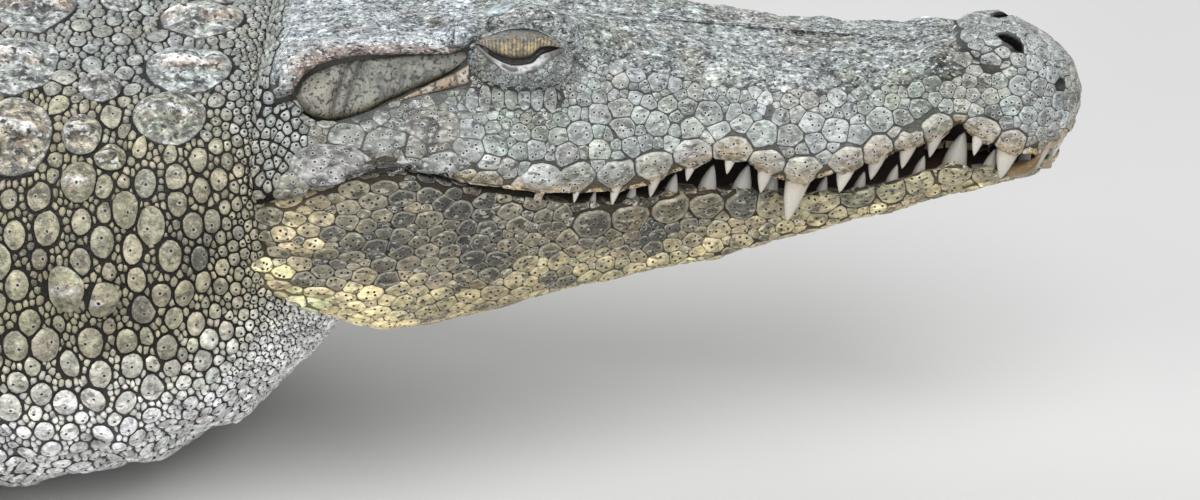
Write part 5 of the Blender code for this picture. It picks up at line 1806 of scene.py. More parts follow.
def group_mottle():
    """Uneven light and dark over a surface."""
    tree, given, out = new_group("mottle", (
        ("Colour", COLOUR, None), ("Place", PLACE, None), ("Density", VALUE, 90.0), ("Amount", VALUE, 0.35),
        ("Along", PLACE, (1.0, 1.0, 1.0))), (("Colour", COLOUR),))
    drawn = stretched(tree, given)
    uneven = node(tree, "ShaderNodeTexNoise", {
        "Vector": drawn, "Scale": given["Density"], "Detail": 6.0, "Roughness": 0.68})
    swing = maths(tree, "MULTIPLY", maths(tree, "SUBTRACT", uneven.outputs["Fac"], 0.5), 6.0)
    swing = maths(tree, "ADD", maths(tree, "MULTIPLY", swing, given["Amount"]), 1.0)
    factor = maths(tree, "MAXIMUM", swing, 0.12)
    tree.links.new(blend(tree, 1.0, given["Colour"], factor, "MULTIPLY"), out["Colour"])


def group_edge():
    """Edge of a scale: a pale worn line and a dark foot."""
    tree, given, out = new_group("scale_edge", (
        ("Colour", COLOUR, None), ("Rim", VALUE, 0.0), ("Pale", COLOUR, None), ("Foot", COLOUR, None),
        ("Worn", VALUE, 0.35), ("From", VALUE, 0.97)), (("Colour", COLOUR),))
    line = maths(tree, "MULTIPLY", ramp(tree, given["Rim"], 0.7, 0.92), given["Worn"])
    pale = blend(tree, line, given["Colour"], given["Pale"])
    foot = ramp(tree, given["Rim"], given["From"], maths(tree, "ADD", given["From"], 0.03))
    tree.links.new(blend(tree, foot, pale, given["Foot"]), out["Colour"])


def group_wrinkles():
    """Fine folds in skin or horn, longer one way than the other."""
    tree, given, out = new_group("wrinkles", (
        ("Place", PLACE, None), ("Density", VALUE, 300.0), ("Along", PLACE, (1.0, 1.0, 1.0)), ("Bend", VALUE, 0.6)),
        (("Height", VALUE),))
    drawn = stretched(tree, given)
    first = node(tree, "ShaderNodeTexNoise", {
        "Vector": drawn, "Scale": given["Density"], "Detail": 4.0, "Distortion": given["Bend"]})
    values = {"Vector": drawn, "Scale": given["Density"]}
    cells = node(tree, "ShaderNodeTexVoronoi", values, feature="DISTANCE_TO_EDGE")
    crease = ramp(tree, cells.outputs["Distance"], 0.0, 0.12)
    height = maths(tree, "ADD", first.outputs["Fac"], maths(tree, "MULTIPLY", crease, 0.5))
    tree.links.new(height, out["Height"])


def use_group(tree, name, values):
    return node(tree, "ShaderNodeGroup", values, node_tree=bpy.data.node_groups[name]).outputs


def wrinkles(tree, where, density, along):
    values = {"Place": where, "Density": density, "Along": along}
    return use_group(tree, "wrinkles", values)["Height"]


def flecks(tree, colour, where, fleck, density, threshold, amount, along=(1.0, 1.0, 1.0)):
    return use_group(tree, "flecks", {
        "Colour": colour, "Place": where, "Fleck": (*fleck, 1), "Density": density, "Threshold": threshold,
        "Amount": amount, "Along": along})["Colour"]


def start_material(name, roughness=0.5, specular=0.5):
    material = bpy.data.materials.new(name)
    material.use_nodes = True
    tree = material.node_tree
    shader = tree.nodes["Principled BSDF"]
    shader.inputs["Roughness"].default_value = roughness
    shader.inputs["Specular IOR Level"].default_value = specular
    return tree, shader, node(tree, "ShaderNodeTexCoord").outputs["Object"]


def read(tree, name, output):
    return node(tree, "ShaderNodeAttribute", attribute_name=name).outputs[output]


def finish_material(tree, shader, colour, height, strength, distance, rough=None):
    tree.links.new(colour, shader.inputs["Base Color"])
    relief = node(tree, "ShaderNodeBump", {"Height": height, "Strength": strength, "Distance": distance})
    tree.links.new(relief.outputs[0], shader.inputs["Normal"])
    if rough is not None:
        tree.links.new(rough, shader.inputs["Roughness"])


def weathered(tree, where, grain, along_x, mottle, dark, light, pale):
    """The markings, made uneven and strewn with dark and pale flecks."""
    way = (along_x, 1.0, 1.0)
    colour = read(tree, "Marking", "Color")
    for density, amount in ((mottle[0], mottle[1]), (mottle[0] * 3.1, mottle[1] * 0.7)):
        colour = use_group(tree, "mottle", {
            "Colour": colour, "Place": where, "Density": density, "Amount": amount, "Along": way})["Colour"]
    for fleck, density, amount in (((0.03, 0.031, 0.03), grain, dark), (pale, grain * 1.5, light)):
        colour = flecks(tree, colour, where, fleck, density, 0.57, amount, way)
    return colour


def scale_material(name, pores, grain, along_x, mottle, dark, light, foot, pale, worn, start=0.97):
    """A finish for scales: weathered markings, worn edges, pores with pale rings and fine wrinkles."""
    tree, shader, where = start_material(name)
    density, size, ring, single = pores
    colour = weathered(tree, where, grain, along_x, mottle, dark, light, pale)
    rim = read(tree, "Rim", "Fac")
    colour = use_group(tree, "scale_edge", {
        "Colour": colour, "Rim": rim, "Pale": (*pale, 1), "Foot": (*foot, 1), "Worn": worn, "From": start})["Colour"]
    dots = use_group(tree, "pores", {
        "Colour": colour, "Scale": read(tree, "Scale", "Vector"), "Density": density, "Size": size, "Ring": ring,
        "Single": single, "Rim": rim})
    folds = wrinkles(tree, where, grain * 1.15, (along_x, 1.0, 1.0))
    height = maths(tree, "SUBTRACT", folds, maths(tree, "MULTIPLY", dots["Depth"], 1.2))
    rough = ramp(tree, folds, 0.45, 1.15, 0.6, 0.38)
    finish_material(tree, shader, dots["Colour"], height, 0.7, 0.0007, rough)


def build_materials(colours):
    """Every finish of the animal."""
    for build in (group_flecks, group_pores, group_mottle, group_edge, group_wrinkles):
        build()
    # gap and crack, partly painted shade, also give the dark foot of the scales.
    gap, crack = tuple(colours.gap), tuple(colours.crack)
    crown, white, straw = (0.15, 0.155, 0.15), (0.66, 0.68, 0.67), (0.56, 0.53, 0.42)
    head_pores, none = (200, 0.00046, 0.34, 0), (90, 0.00001, 0.0, 0)
    scale_material("hide_head", head_pores, 330, 0.6, (150, 0.46), 0.7, 0.5, crack, white, 0.2)
    scale_material("hide_cheek", head_pores, 250, 0.6, (100, 0.52), 0.75, 0.4, (0.085, 0.078, 0.062), white, 0.1)
    scale_material("hide_crown", none, 520, 0.6, (230, 1.0), 1.0, 0.8, crown, (0.66, 0.69, 0.7), 0.05)
    scale_material("hide_jaw", (230, 0.00056, 0.06, 0), 240, 0.6, (110, 0.66), 0.75, 0.5, crack, straw, 0.26)
    scale_material("hide_neck", (90, 0.0006, 0.22, 1), 300, 0.8, (120, 0.55), 0.6, 0.4, gap, straw, 0.14, 0.94)
    scale_material("hide_grains", none, 300, 0.8, (120, 0.3), 0.3, 0.3, gap, straw, 0.14)
    scale_material("hide_body", (60, 0.0005, 0.15, 1), 220, 0.6, (90, 0.35), 0.4, 0.25, gap, straw, 0.2)
    scale_material("shields", none, 240, 0.8, (140, 1.0), 1.0, 0.6, gap, white, 0.1, 0.93)
    for build in (
        build_skin_material, build_tooth_material, build_claw_material, build_lid_material, build_eye_material,
        build_ear_material, build_keel_material,
    ):
        build()


def build_skin_material():
    tree, shader, where = start_material("bare_skin", 0.6, 0.22)
    worn = weathered(tree, where, 520, 0.6, (230, 1.0), 1.0, 0.8, (0.66, 0.69, 0.7))
    # Between the scales the skin takes the Gap colour, which is partly painted shade; the crown's bare skin takes
    # the weathered markings.
    colour = blend(tree, read(tree, "Bare", "Fac"), read(tree, "Gap", "Color"), worn)
    folds = wrinkles(tree, where, 520.0, (0.5, 1.0, 1.0))
    finish_material(tree, shader, colour, folds, 0.9, 0.0008)


def build_tooth_material():
    tree, shader, where = start_material("ivory", 0.28)
    reach = read(tree, "Reach", "Fac")
    tint = read(tree, "Marking", "Color")
    streaks = noise(tree, where, 700.0, 3.0)
    root = ramp(tree, maths(tree, "ADD", reach, maths(tree, "MULTIPLY", streaks, 0.18)), 0.18, 0.62, 1.0, 0.0)
    colour = blend(tree, maths(tree, "MULTIPLY", root, 0.62), tint, (0.3, 0.19, 0.085, 1))
    colour = blend(tree, ramp(tree, streaks, 0.52, 0.68, 0.0, 0.35), colour, (0.42, 0.33, 0.22, 1))
    finish_material(tree, shader, colour, streaks, 0.15, 0.0003)
    shader.inputs["Coat Weight"].default_value = 0.35
    shader.inputs["Coat Roughness"].default_value = 0.18


def build_claw_material():
    tree, shader, where = start_material("horn", 0.38)
    fibres = wrinkles(tree, where, 260.0, (0.35, 1.0, 1.0))
    colour = blend(tree, ramp(tree, fibres, 0.6, 1.2), (0.045, 0.04, 0.033, 1), (0.15, 0.125, 0.09, 1))
    finish_material(tree, shader, colour, fibres, 0.35, 0.0004)


def build_keel_material():
    tree, shader, where = start_material("keel_horn", 0.5)
    fibres = wrinkles(tree, where, 230.0, (1.0, 1.0, 0.25))
    colour = flecks(tree, read(tree, "Marking", "Color"), where, (0.45, 0.42, 0.33), 210.0, 0.58, 0.45)
    finish_material(tree, shader, colour, fibres, 0.6, 0.0008, ramp(tree, fibres, 0.5, 1.2, 0.65, 0.42))


def build_lid_material():
    tree, shader, where = start_material("lids", 0.38)
    tint = read(tree, "Marking", "Color")
    rib = read(tree, "Rib", "Fac")
    grain = noise(tree, where, 900.0, 3.0)
    dark = ramp(tree, maths(tree, "ADD", rib, maths(tree, "MULTIPLY", grain, 0.5)), 0.3, 0.62, 0.85, 0.0)
    colour = blend(tree, dark, tint, (0.03, 0.024, 0.014, 1))
    colour = flecks(tree, colour, where, (0.035, 0.03, 0.024), 620.0, 0.57, 0.6)
    finish_material(tree, shader, colour, maths(tree, "ADD", rib, grain), 0.6, 0.0004)


def build_eye_material():
    tree, shader, _ = start_material("eye_gloss", 0.06, 0.7)
    gaze = read(tree, "Gaze", "Vector")
    split = node(tree, "ShaderNodeSeparateXYZ", {0: gaze})
    across, upward = maths(tree, "ABSOLUTE", split.outputs[0]), maths(tree, "ABSOLUTE", split.outputs[1])
    away = node(tree, "ShaderNodeVectorMath", {0: gaze}, operation="LENGTH").outputs["Value"]
    slit = maths(tree, "ADD", across, maths(tree, "MULTIPLY", upward, 0.16))
    slit = ramp(tree, slit, 0.001, 0.0014, 1.0, 0.0)
    grain = noise(tree, gaze, 1200.0, 4.0)
    iris = blend(tree, ramp(tree, grain, 0.42, 0.62), (0.1, 0.085, 0.02, 1), (0.34, 0.27, 0.075, 1))
    # Near-black beyond the iris: partly the eye's own dark rim, partly painted shadow of the upper lid on the eye.
    iris = blend(tree, ramp(tree, away, 0.0085, 0.01), iris, (0.02, 0.018, 0.014, 1))
    tree.links.new(blend(tree, slit, iris, (0.003, 0.003, 0.003, 1)), shader.inputs["Base Color"])


def build_ear_material():
    tree, shader, where = start_material("ear_skin", 0.45)
    colour = flecks(tree, read(tree, "Marking", "Color"), where, (0.022, 0.024, 0.022), 480.0, 0.54, 0.85)
    folds = wrinkles(tree, where, 260.0, (1.0, 0.6, 0.6))
    finish_material(tree, shader, colour, folds, 0.7, 0.0007, ramp(tree, folds, 0.5, 1.2, 0.55, 0.38))


# ---------------------------------------------------------------- operators

def surface():
    """The finished skin that everything grows on, or an error where it isn't made yet."""
    if "ground" not in STATE:
        raise RuntimeError("make the skin first")
    return STATE["ground"]


FLESH = [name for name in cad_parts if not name.startswith("eye_")]


class CROCODILE_OT_finishes(bpy.types.Operator):
    """Makes the node groups and materials that every piece uses"""

    bl_idname = "crocodile.finishes"
    bl_label = "Finishes"

    def execute(self, context):
        build_materials(context.scene.crocodile_colours)
        return {"FINISHED"}


class CROCODILE_OT_skin(bpy.types.Operator):
    """Makes one closed skin over head, neck, trunk, tail and limbs"""

    bl_idname = "crocodile.skin"
    bl_label = "Skin"

    def execute(self, context):
        colours, sizes = context.scene.crocodile_colours, context.scene.crocodile_scales
        skin, notes = build_skin(sizes.depth)
        ground = Ground(skin, notes)
        STATE["ground"] = ground
        tone = markings_and_painted_light(ground.points, ground.rows, colours)
        gap, crack = np.array(colours.gap), np.array(colours.crack)
        region, s, run = ground.rows[:, 0], ground.rows[:, 1], ground.rows[:, 2]
        mouth = (region == HEAD) & (run > LIP_RUN + 0.25) | (region == JAW) & (run < JAW_TOP_RUN - 0.1)
        mouth = 1.0 * (mouth & (s < 0.35))
        # Colour of the skin between the scales: far darker than the markings, partly the skin's own dark colour,
        # partly painted shade in the narrow gaps; inside the mouth it takes the mouth's painted shade.
        brown = (region == JAW) | (region == HEAD) & (run > 3.5)
        deep = np.where(brown[:, None], crack, gap) * 0.55 + tone * np.where(brown, 0.16, 0.04)[:, None]
        deep = mixed(deep, tone * 0.3, 1.0 * (region == HEAD))
        deep = mixed(deep, tone * 0.5, 0.95 * is_crown(region, s, run))
        deep = mixed(deep, tone * 0.55, (region == HEAD) * smooth(s, 0.325, 0.345) * (run > 4.4))
        deep = mixed(deep, tone, mouth)
        # Painted shade: the gaps darker still low on the neck, near the floor.
        low_neck = (region == TORSO) * (s < NECK_LAST) * (1 - smooth(ground.points[:, 2], 0.06, 0.13))
        deep = mixed(deep, tone * 0.13, low_neck)
        set_values(skin, "Marking", "FLOAT_COLOR", tone)
        set_values(skin, "Gap", "FLOAT_COLOR", deep)
        set_values(skin, "Bare", "FLOAT", 0.85 * is_crown(region, s, run))
        skin.data.polygons.foreach_set("material_index", np.zeros(len(skin.data.polygons), np.int32))
        hand_over(skin, "bare_skin", "hide")
        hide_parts(*FLESH)
        return {"FINISHED"}


# Rings of a scale's mesh, as shares of its reach
FINE = (0.3, 0.58, 0.78, 0.9, 0.965, 1.0)
EVEN = (0.36, 0.68, 0.88, 0.965, 1.0)
MEDIUM = (0.42, 0.75, 0.93, 1.0)
COARSE = (0.62, 0.92, 1.0)
TINY = (0.7, 1.0)
PLATE_RINGS, NECK_SHIELD, BACK_SHIELD = (
    np.linspace(first, 1, count) ** 0.8 for first, count in ((0.06, 16), (0.07, 18), (0.1, 8))
)


class CROCODILE_OT_scales(bpy.types.Operator):
    """Grows every scale and shield over the skin, each fitted to its neighbours"""

    bl_idname = "crocodile.scales"
    bl_label = "Scales and shields"

    def execute(self, context):
        colours, sizes = context.scene.crocodile_colours, context.scene.crocodile_scales
        ground = surface()
        random = np.random.default_rng(sizes.seed)
        fixed = shield_sites(ground, sizes)
        sites = Sites.join([fixed, ordinary_sites(ground, sizes, random)])
        _, local = eye_distance(sites.points)
        lids = (lid_share(local) < 0.0006) & (local[:, 2] > 0) & (np.abs(local[:, 0]) < 0.03)
        free = ~lids & self.clear_of_holes(sites) | (sites.kind == HOLE)
        sites = thin_out(sites.pick(free), int(free[:len(fixed)].sum()))
        region, s, run = sites.rows[:, 0], sites.rows[:, 1], sites.rows[:, 2]
        ear = (region == HEAD) & ear_zone(s, run)
        shield = sites.kind == SHIELD
        big = np.isin(sites.kind, (PLATE, FILL)) & ~ear & ~shield
        head, jaw, torso, limb = (region == part for part in (HEAD, JAW, TORSO, LIMB))
        neck, tail = torso & (s < NECK_LAST), torso & (s >= TRUNK_END)
        trunk = torso & ~neck & ~tail
        crown = is_crown(region, s, run)
        broad = crown & (sites.radius > 0.004)
        cheek = ~crown & (s >= 0.3) | broad
        small, fill = (sites.kind == GRAIN) & ~ear, sites.kind == FILL
        tree = tree_of(sites.points)
        groups = (
            ("scales_snout", head & ~crown & ~cheek & big, 22, FINE, "hide_head", "hide", 0.0),
            ("scales_cheek", head & cheek & big, 24, FINE, "hide_cheek", "hide", 0.00035),
            ("cheek_plates", sites.kind == BROAD, 44, PLATE_RINGS, "hide_cheek", "hide", 0.0006),
            ("scales_crown", crown & ~broad & big, 8, TINY, "hide_crown", "hide", 0.0),
            ("scales_jaw", jaw & big, 14, EVEN, "hide_jaw", "pale_hide", 0.0),
            ("granules_head", (head | jaw) & small, 10, COARSE, "hide_head", "hide", 0.0),
            ("scales_neck", neck & big & ~fill & (s < 0.57), 14, EVEN, "hide_neck", "hide", 0.00015),
            ("scales_neck_small", neck & big & fill & (s < 0.57), 10, MEDIUM, "hide_neck", "hide", 0.0),
            ("scales_nape", neck & big & (s >= 0.57), 14, FINE, "hide_neck", "hide", 0.00015),
            ("granules_neck", neck & small, 7, COARSE, "hide_grains", "hide", 0.0),
            ("scales_trunk", trunk & ~shield & ~small, 10, MEDIUM, "hide_body", "hide", 0.0002),
            ("granules_body", (trunk | tail) & small, 7, TINY, "hide_grains", "hide", 0.0),
            ("scales_tail", tail & ~shield & ~small, 12, MEDIUM, "hide_body", "hide", 0.0002),
            ("scales_limbs", limb & ~small & ~shield, 9, MEDIUM, "hide_body", "hide", 0.0),
            ("granules_limbs", limb & small, 7, TINY, "hide_grains", "hide", 0.0),
            ("neck_shields", shield & (s < NECK_LAST), 40, NECK_SHIELD, "shields", "hide", 0.0013),
            ("back_shields", shield & (s >= NECK_LAST), 24, BACK_SHIELD, "shields", "hide", 0.0009),
        )
        for name, which, segments, rings, material, slot, pits in groups:
            chosen = sites.pick(which)
            if not len(chosen):
                raise RuntimeError(f"no sites for {name}")
            reach, back, across = cell_shapes(sites, np.flatnonzero(which), segments, sizes.gap, tree)
            reach = tucked(ground, chosen, reach, back, across)
            piece = scale_mesh(name, ground, chosen, reach, back, across, rings, colours, pits)
            hand_over(piece, material, slot)
        return {"FINISHED"}

    def clear_of_holes(self, sites):
        free = np.ones(len(sites), bool)
        for side in SIDES:
            centre, way, out = nostril_frame(side)
            gap = sites.points - centre
            a, b = gap @ way, gap @ np.cross(out, way)
            free &= (np.hypot(a / 0.01, b / 0.0062) > 1) | (gap @ out < -0.012)
            for s, run, radius, _ in PITS:
                free &= np.linalg.norm(sites.points - head_spot(s, run, side)[0], axis=1) > radius + 0.002
        return free


class CROCODILE_OT_crest(bpy.types.Operator):
    """Makes the upright keels of the tail: paired rows that meet in one"""

    bl_idname = "crocodile.crest"
    bl_label = "Tail keels"

    def execute(self, context):
        mesh = bmesh.new()
        for i in range(int((CREST_END - CREST_PAIRS_FROM) / CREST_PITCH)):
            s = CREST_PAIRS_FROM + i * CREST_PITCH
            if s < CREST_SINGLE_FROM:
                width = 0.72 * along(BODY, 1, np.array([s]))[0]
                gap = width * (CREST_SINGLE_FROM - s) / (CREST_SINGLE_FROM - CREST_PAIRS_FROM)
                gap = max(0.4 * gap + 0.01, 0.0095)
                self.keel(mesh, s, gap)
                self.keel(mesh, s, -gap)
            else:
                self.keel(mesh, s, 0.0)
        piece = to_object(mesh, "tail_keels")
        co = np.array([vert.co for vert in piece.data.vertices])
        rows = np.tile((float(TORSO), 2.0, 0.0, 1.0), (len(co), 1))
        set_values(piece, "Marking", "FLOAT_COLOR", markings_and_painted_light(co, rows, context.scene.crocodile_colours) * 0.9)
        hand_over(piece, "keel_horn", "hide")
        return {"FINISHED"}

    def keel(self, mesh, s, side):
        rise = min(1.0, (s - CREST_PAIRS_FROM + 0.08) / 0.45)
        fall = min(1.0, (CREST_END - s + 0.25) / 0.75)
        tall = CREST_TALLEST * rise * fall

        def form(u, v):
            up = 1 - np.abs(2 * v - 1)
            left = np.where(v < 0.5, 1.0, -1.0)
            back = u**0.9
            foot = 0.01 + 0.97 * back
            head = 0.03 + 0.99 * back
            high = tall * (0.1 + 0.9 * back**0.85)
            over = (head - foot) * up
            skin, root = along(BODY, 2, s + foot * CREST_PITCH), CREST_ROOT * 0.6
            z = skin - root + (high + root) * up**0.9
            ends = np.clip(np.minimum(u, 1 - u) * 7, 0, 1) ** 0.5
            thick = CREST_THICKNESS * 0.55 * (1 - up) ** 0.55 * (0.35 + 0.65 * ends) + 0.0006 * ends
            flute = 1 + 0.1 * np.sin(u * 26)
            spread = side + np.copysign(0.25 * np.maximum(z - skin, 0), side) * (side != 0)
            return place(s + (foot + over) * CREST_PITCH, spread + left * thick * flute, z)

        wrap(mesh, form, 14, 16)


class CROCODILE_OT_teeth(bpy.types.Operator):
    """Makes the upper and lower rows of teeth"""

    bl_idname = "crocodile.teeth"
    bl_label = "Teeth"

    def execute(self, context):
        self.row("teeth_upper", UPPER_TEETH, LIP, -1, 0.12, 0.0022, (0.57, 0.53, 0.47), 0.24)
        self.row("teeth_lower", LOWER_TEETH, JAW_RIM, 1, 0.1, 0.0035, (0.34, 0.33, 0.3), 0.18)
        return {"FINISHED"}

    def row(self, name, teeth, line, way, lean, inset, tint, rake):
        mesh = bmesh.new()
        reach, tints = mesh.verts.layers.float.new("Reach"), mesh.verts.layers.float_color.new("Marking")
        random = np.random.default_rng(len(teeth))
        for s, length in teeth:
            for side in SIDES:
                at = np.array([s])
                radius = min(length * 1.22 * TOOTH_STOUTNESS, 0.0068)
                inward = max(inset, 0.8 * radius)
                height = along(line, 2, at) + MOUTH_HEIGHT - way * 0.001
                rim = place(s, side * (along(line, 1, at) - inward), height)[0]
                axis = unit(np.array((rake * way, side * lean, way)))
                root, tip = rim - axis * TOOTH_ROOT, rim + axis * (1.12 * length + 0.0022)
                shade = np.array(tint) * random.uniform(0.82, 1.12)
                self.tooth(mesh, root, tip, radius, reach, tints, shade)
        if way > 0:
            # one worn brown tooth stands outside the upper lip, near the tip on the right
            root = place(0.04, -0.031, MOUTH_HEIGHT - 0.0265)[0]
            tip = place(0.024, -0.0395, MOUTH_HEIGHT - 0.0115)[0]
            self.tooth(mesh, root, tip, 0.0042, reach, tints, (0.15, 0.092, 0.034), -0.16)
        piece = to_object(mesh, name)
        hand_over(piece, "ivory", "ivory")

    def tooth(self, mesh, root, tip, radius, reach, tints, shade, curl=0.1):
        axis = unit(tip - root)
        bend = np.cross(np.cross(axis, (0, 0, 1)), tip - root) * curl
        across = unit(np.cross(axis, (0, 1, 0.3)))
        other = np.cross(axis, across)

        def form(u, v):
            centre = root + np.outer(u, tip - root) + np.outer(np.sin(np.pi * u), bend)
            wide = radius * np.maximum(1 - u**1.7, 0) ** 0.85
            wide = wide * (1 + 0.03 * np.cos(10 * np.pi * v))
            angle = 2 * np.pi * v
            points = centre + np.outer(wide * np.cos(angle), across) * 1.08
            return points + np.outer(wide * np.sin(angle), other)

        for vert in wrap(mesh, form, 12, 18):
            share = (np.array(vert.co) - root) @ axis / np.linalg.norm(tip - root)
            vert[reach] = share
            vert[tints] = (*shade, 1)


class CROCODILE_OT_claws(bpy.types.Operator):
    """Makes the claws of the three inner toes of each foot"""

    bl_idname = "crocodile.claws"
    bl_label = "Claws"

    def execute(self, context):
        mesh = bmesh.new()
        for side in SIDES:
            for limb in (FORE_LIMB, HIND_LIMB):
                for root, way, reach, clawed in toe_frames(limb, limb_points(limb, side)):
                    if clawed:
                        self.claw(mesh, root + way * (reach - CLAW_LENGTH / 2), way, limb["digit_radius"])
        hand_over(to_object(mesh, "claws"), "horn", "horn")
        return {"FINISHED"}

    def claw(self, mesh, root, way, radius):
        across = np.cross((0, 0, 1), way)

        def form(u, v):
            angle = 2 * np.pi * v
            thick = radius * 0.62 * np.maximum(1 - u**1.5, 0) ** 0.8
            centre = np.outer(CLAW_LENGTH * 1.12 * u, way) + root
            centre[:, 2] = radius * (0.95 - 0.7 * u * u)
            points = centre + np.outer(thick * 0.7 * np.cos(angle), across)
            points[:, 2] += thick * np.sin(angle) * np.where(np.sin(angle) < 0, 0.7, 1.0)
            points[:, 2] = np.maximum(points[:, 2], 0.0)
            return points

        wrap(mesh, form, 14, 16)


class CROCODILE_OT_eyes(bpy.types.Operator):
    """Makes the eyeballs, the folded lids and their edges"""

    bl_idname = "crocodile.eyes"
    bl_label = "Eyes and lids"

    def execute(self, context):
        for side, label in SIDES.items():
            self.eyeball(side, label)
        upper, lower = bmesh.new(), bmesh.new()
        for mesh, build in ((upper, self.upper_lid), (lower, self.lower_lid)):
            mesh.verts.layers.float.new("Rib")
            mesh.verts.layers.float_color.new("Marking")
            for side in SIDES:
                build(mesh, side)
        for mesh, name in ((upper, "lids_upper"), (lower, "lids_lower")):
            hand_over(to_object(mesh, name), "lids", "hide")
        return {"FINISHED"}

    def eyeball(self, side, label):
        centre, forward, upward, outward = eye_frame(side)
        turn = Matrix((forward, upward, outward)).transposed()
        piece = ball(f"eyeball_{label}", centre, (EYE_RADIUS - 0.0004,) * 3, turn, 56, 36)
        co = np.array([vert.co for vert in piece.data.vertices]) - centre
        set_values(piece, "Gaze", "FLOAT_VECTOR", np.stack([co @ forward, co @ upward, 0 * co[:, 0]], axis=1))
        hand_over(piece, "eye_gloss", "eye")
        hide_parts(f"eye_{label}")

    def patch(self, mesh, side, top, low, steps, rows, rise, rib, tone):
        """A leaf between two curves in the eye's frame, bent over the eye: all three forms take t and w."""
        centre, forward, upward, outward = eye_frame(side)
        ribs = mesh.verts.layers.float["Rib"]
        made, t, w = sheet(mesh, steps, rows)
        (a_top, b_top), (a_low, b_low) = (
            [np.interp(t, np.linspace(0, 1, len(line)), column) for column in zip(*line)]
            for line in (top, low)
        )
        a, b = a_top + (a_low - a_top) * w, b_top + (b_low - b_top) * w
        inside = 1 - (a / (LID_SIZE[0] + 0.002)) ** 2 - (b / (LID_SIZE[2] + 0.002)) ** 2
        c = np.sqrt(np.clip(inside, 0.02, 1)) * (LID_SIZE[1] - 0.0006) + rise(t, w)
        points = centre + np.outer(a, forward) + np.outer(b, upward) + np.outer(c, outward)
        paint(mesh, made, points, tone(t, w))
        for vert, value in zip(made, rib(t, w)):
            vert[ribs] = value
        thicken(mesh, made, outward, LID_THICKNESS)

    def upper_lid(self, mesh, side):
        def folds(t):
            return 0.5 + 0.5 * np.cos(t * 2 * np.pi * 23 + 2.0 * np.sin(t * 9))

        def rise(t, w):
            ends = smooth(np.minimum(t, 1 - t), 0.0, 0.14)
            body = -0.0014 + 0.003 * smooth(w, 0.0, 0.22) + 0.0012 * bump(w, 0.72, 0.25)
            body = body - 0.0012 * smooth(w, 0.93, 1)
            grains = flat_cloud(t * 0.045, w * 0.016, 0.0015, 9)
            body = body + 0.0006 * grains * (1 - smooth(w, 0.35, 0.6))
            return body * ends + 0.00045 * folds(t) * smooth(w, 0.25, 0.5) * ends + 0.0006 * ends

        def rib(t, w):
            return 1 - (1 - folds(t)) * smooth(w, 0.22, 0.4)

        def tone(t, w):
            patch = flat_cloud(t, w * 0.3, 0.05, 6)
            return layered(
                (0.135, 0.138, 0.128), ((0.36, 0.285, 0.155), smooth(w + 0.3 * patch, 0.24, 0.52)),
                ((0.12, 0.105, 0.065), 0.6 * smooth(0.32 - t, 0.0, 0.2)),
                ((0.085, 0.08, 0.065), 0.7 * smooth(patch, 0.1, 0.45)),
                ((0.3, 0.25, 0.2), 1 - smooth(np.minimum(t, 1 - t), 0.05, 0.22)),
                ((0.07, 0.074, 0.07), 0.8 * smooth(flat_cloud(t, w, 0.035, 8), 0.1, 0.4)),
                # Painted shade: near-black along the crease above the lid; painted shadow along the lid's edge at
                # the slit.
                ((0.012, 0.01, 0.009), 1 - smooth(w, 0.03, 0.12)),
                ((0.03, 0.02, 0.012), smooth(w, 0.84, 0.96)),
            )

        self.patch(mesh, side, curve(CREASE_CURVE), curve(SLIT_CURVE), 96, 26, rise, rib, tone)

    def lower_lid(self, mesh, side):
        def rise(t, w):
            body = -0.0024 + 0.003 * smooth(w, 0.0, 0.3) - 0.0026 * smooth(w, 0.72, 1.0)
            ends = smooth(np.minimum(t, 1 - t), 0.0, 0.12)
            return (body + 0.0004 * flat_cloud(t, w, 0.08, 3)) * ends + 0.0004

        def rib(t, _):
            return 0.9 + 0 * t

        def tone(t, w):
            dull = 1 - smooth(np.minimum(t - 0.1, 0.92 - t), 0.04, 0.22)
            grey = smooth(flat_cloud(t, w * 0.4, 0.07, 5), -0.05, 0.45)
            return layered(
                (0.52, 0.52, 0.52), ((0.13, 0.125, 0.125), grey),
                # Painted shadow: near-black along the slit, under the upper lid.
                ((0.11, 0.108, 0.098), 0.9 * dull), ((0.014, 0.012, 0.011), 1 - smooth(w, 0.22, 0.36)),
                ((0.12, 0.115, 0.105), smooth(w, 0.74, 0.94)),
            )

        self.patch(mesh, side, curve(SLIT_CURVE, -0.0012), curve(LOWER_CURVE), 72, 14, rise, rib, tone)


def paint(mesh, made, points, tones):
    """Moves a sheet's vertices and writes their colours."""
    layer = mesh.verts.layers.float_color["Marking"]
    for vert, point, tone in zip(made, points, tones):
        vert.co = point
        vert[layer] = (*tone, 1)


def flat_cloud(t, w, size, seed):
    return cloud(np.stack([t, w, 0 * t], axis=1), size, seed)


def curve(points, sag=0.0, steps=40):
    """A smooth curve through an edge of the lids, in fine steps."""
    xs = np.linspace(points[0][0], points[-1][0], steps)
    heights = [along(points, 1, np.array([x]))[0] for x in xs]
    return [(x, y + sag * math.sin(math.pi * i / (steps - 1))) for i, (x, y) in enumerate(zip(xs, heights))]


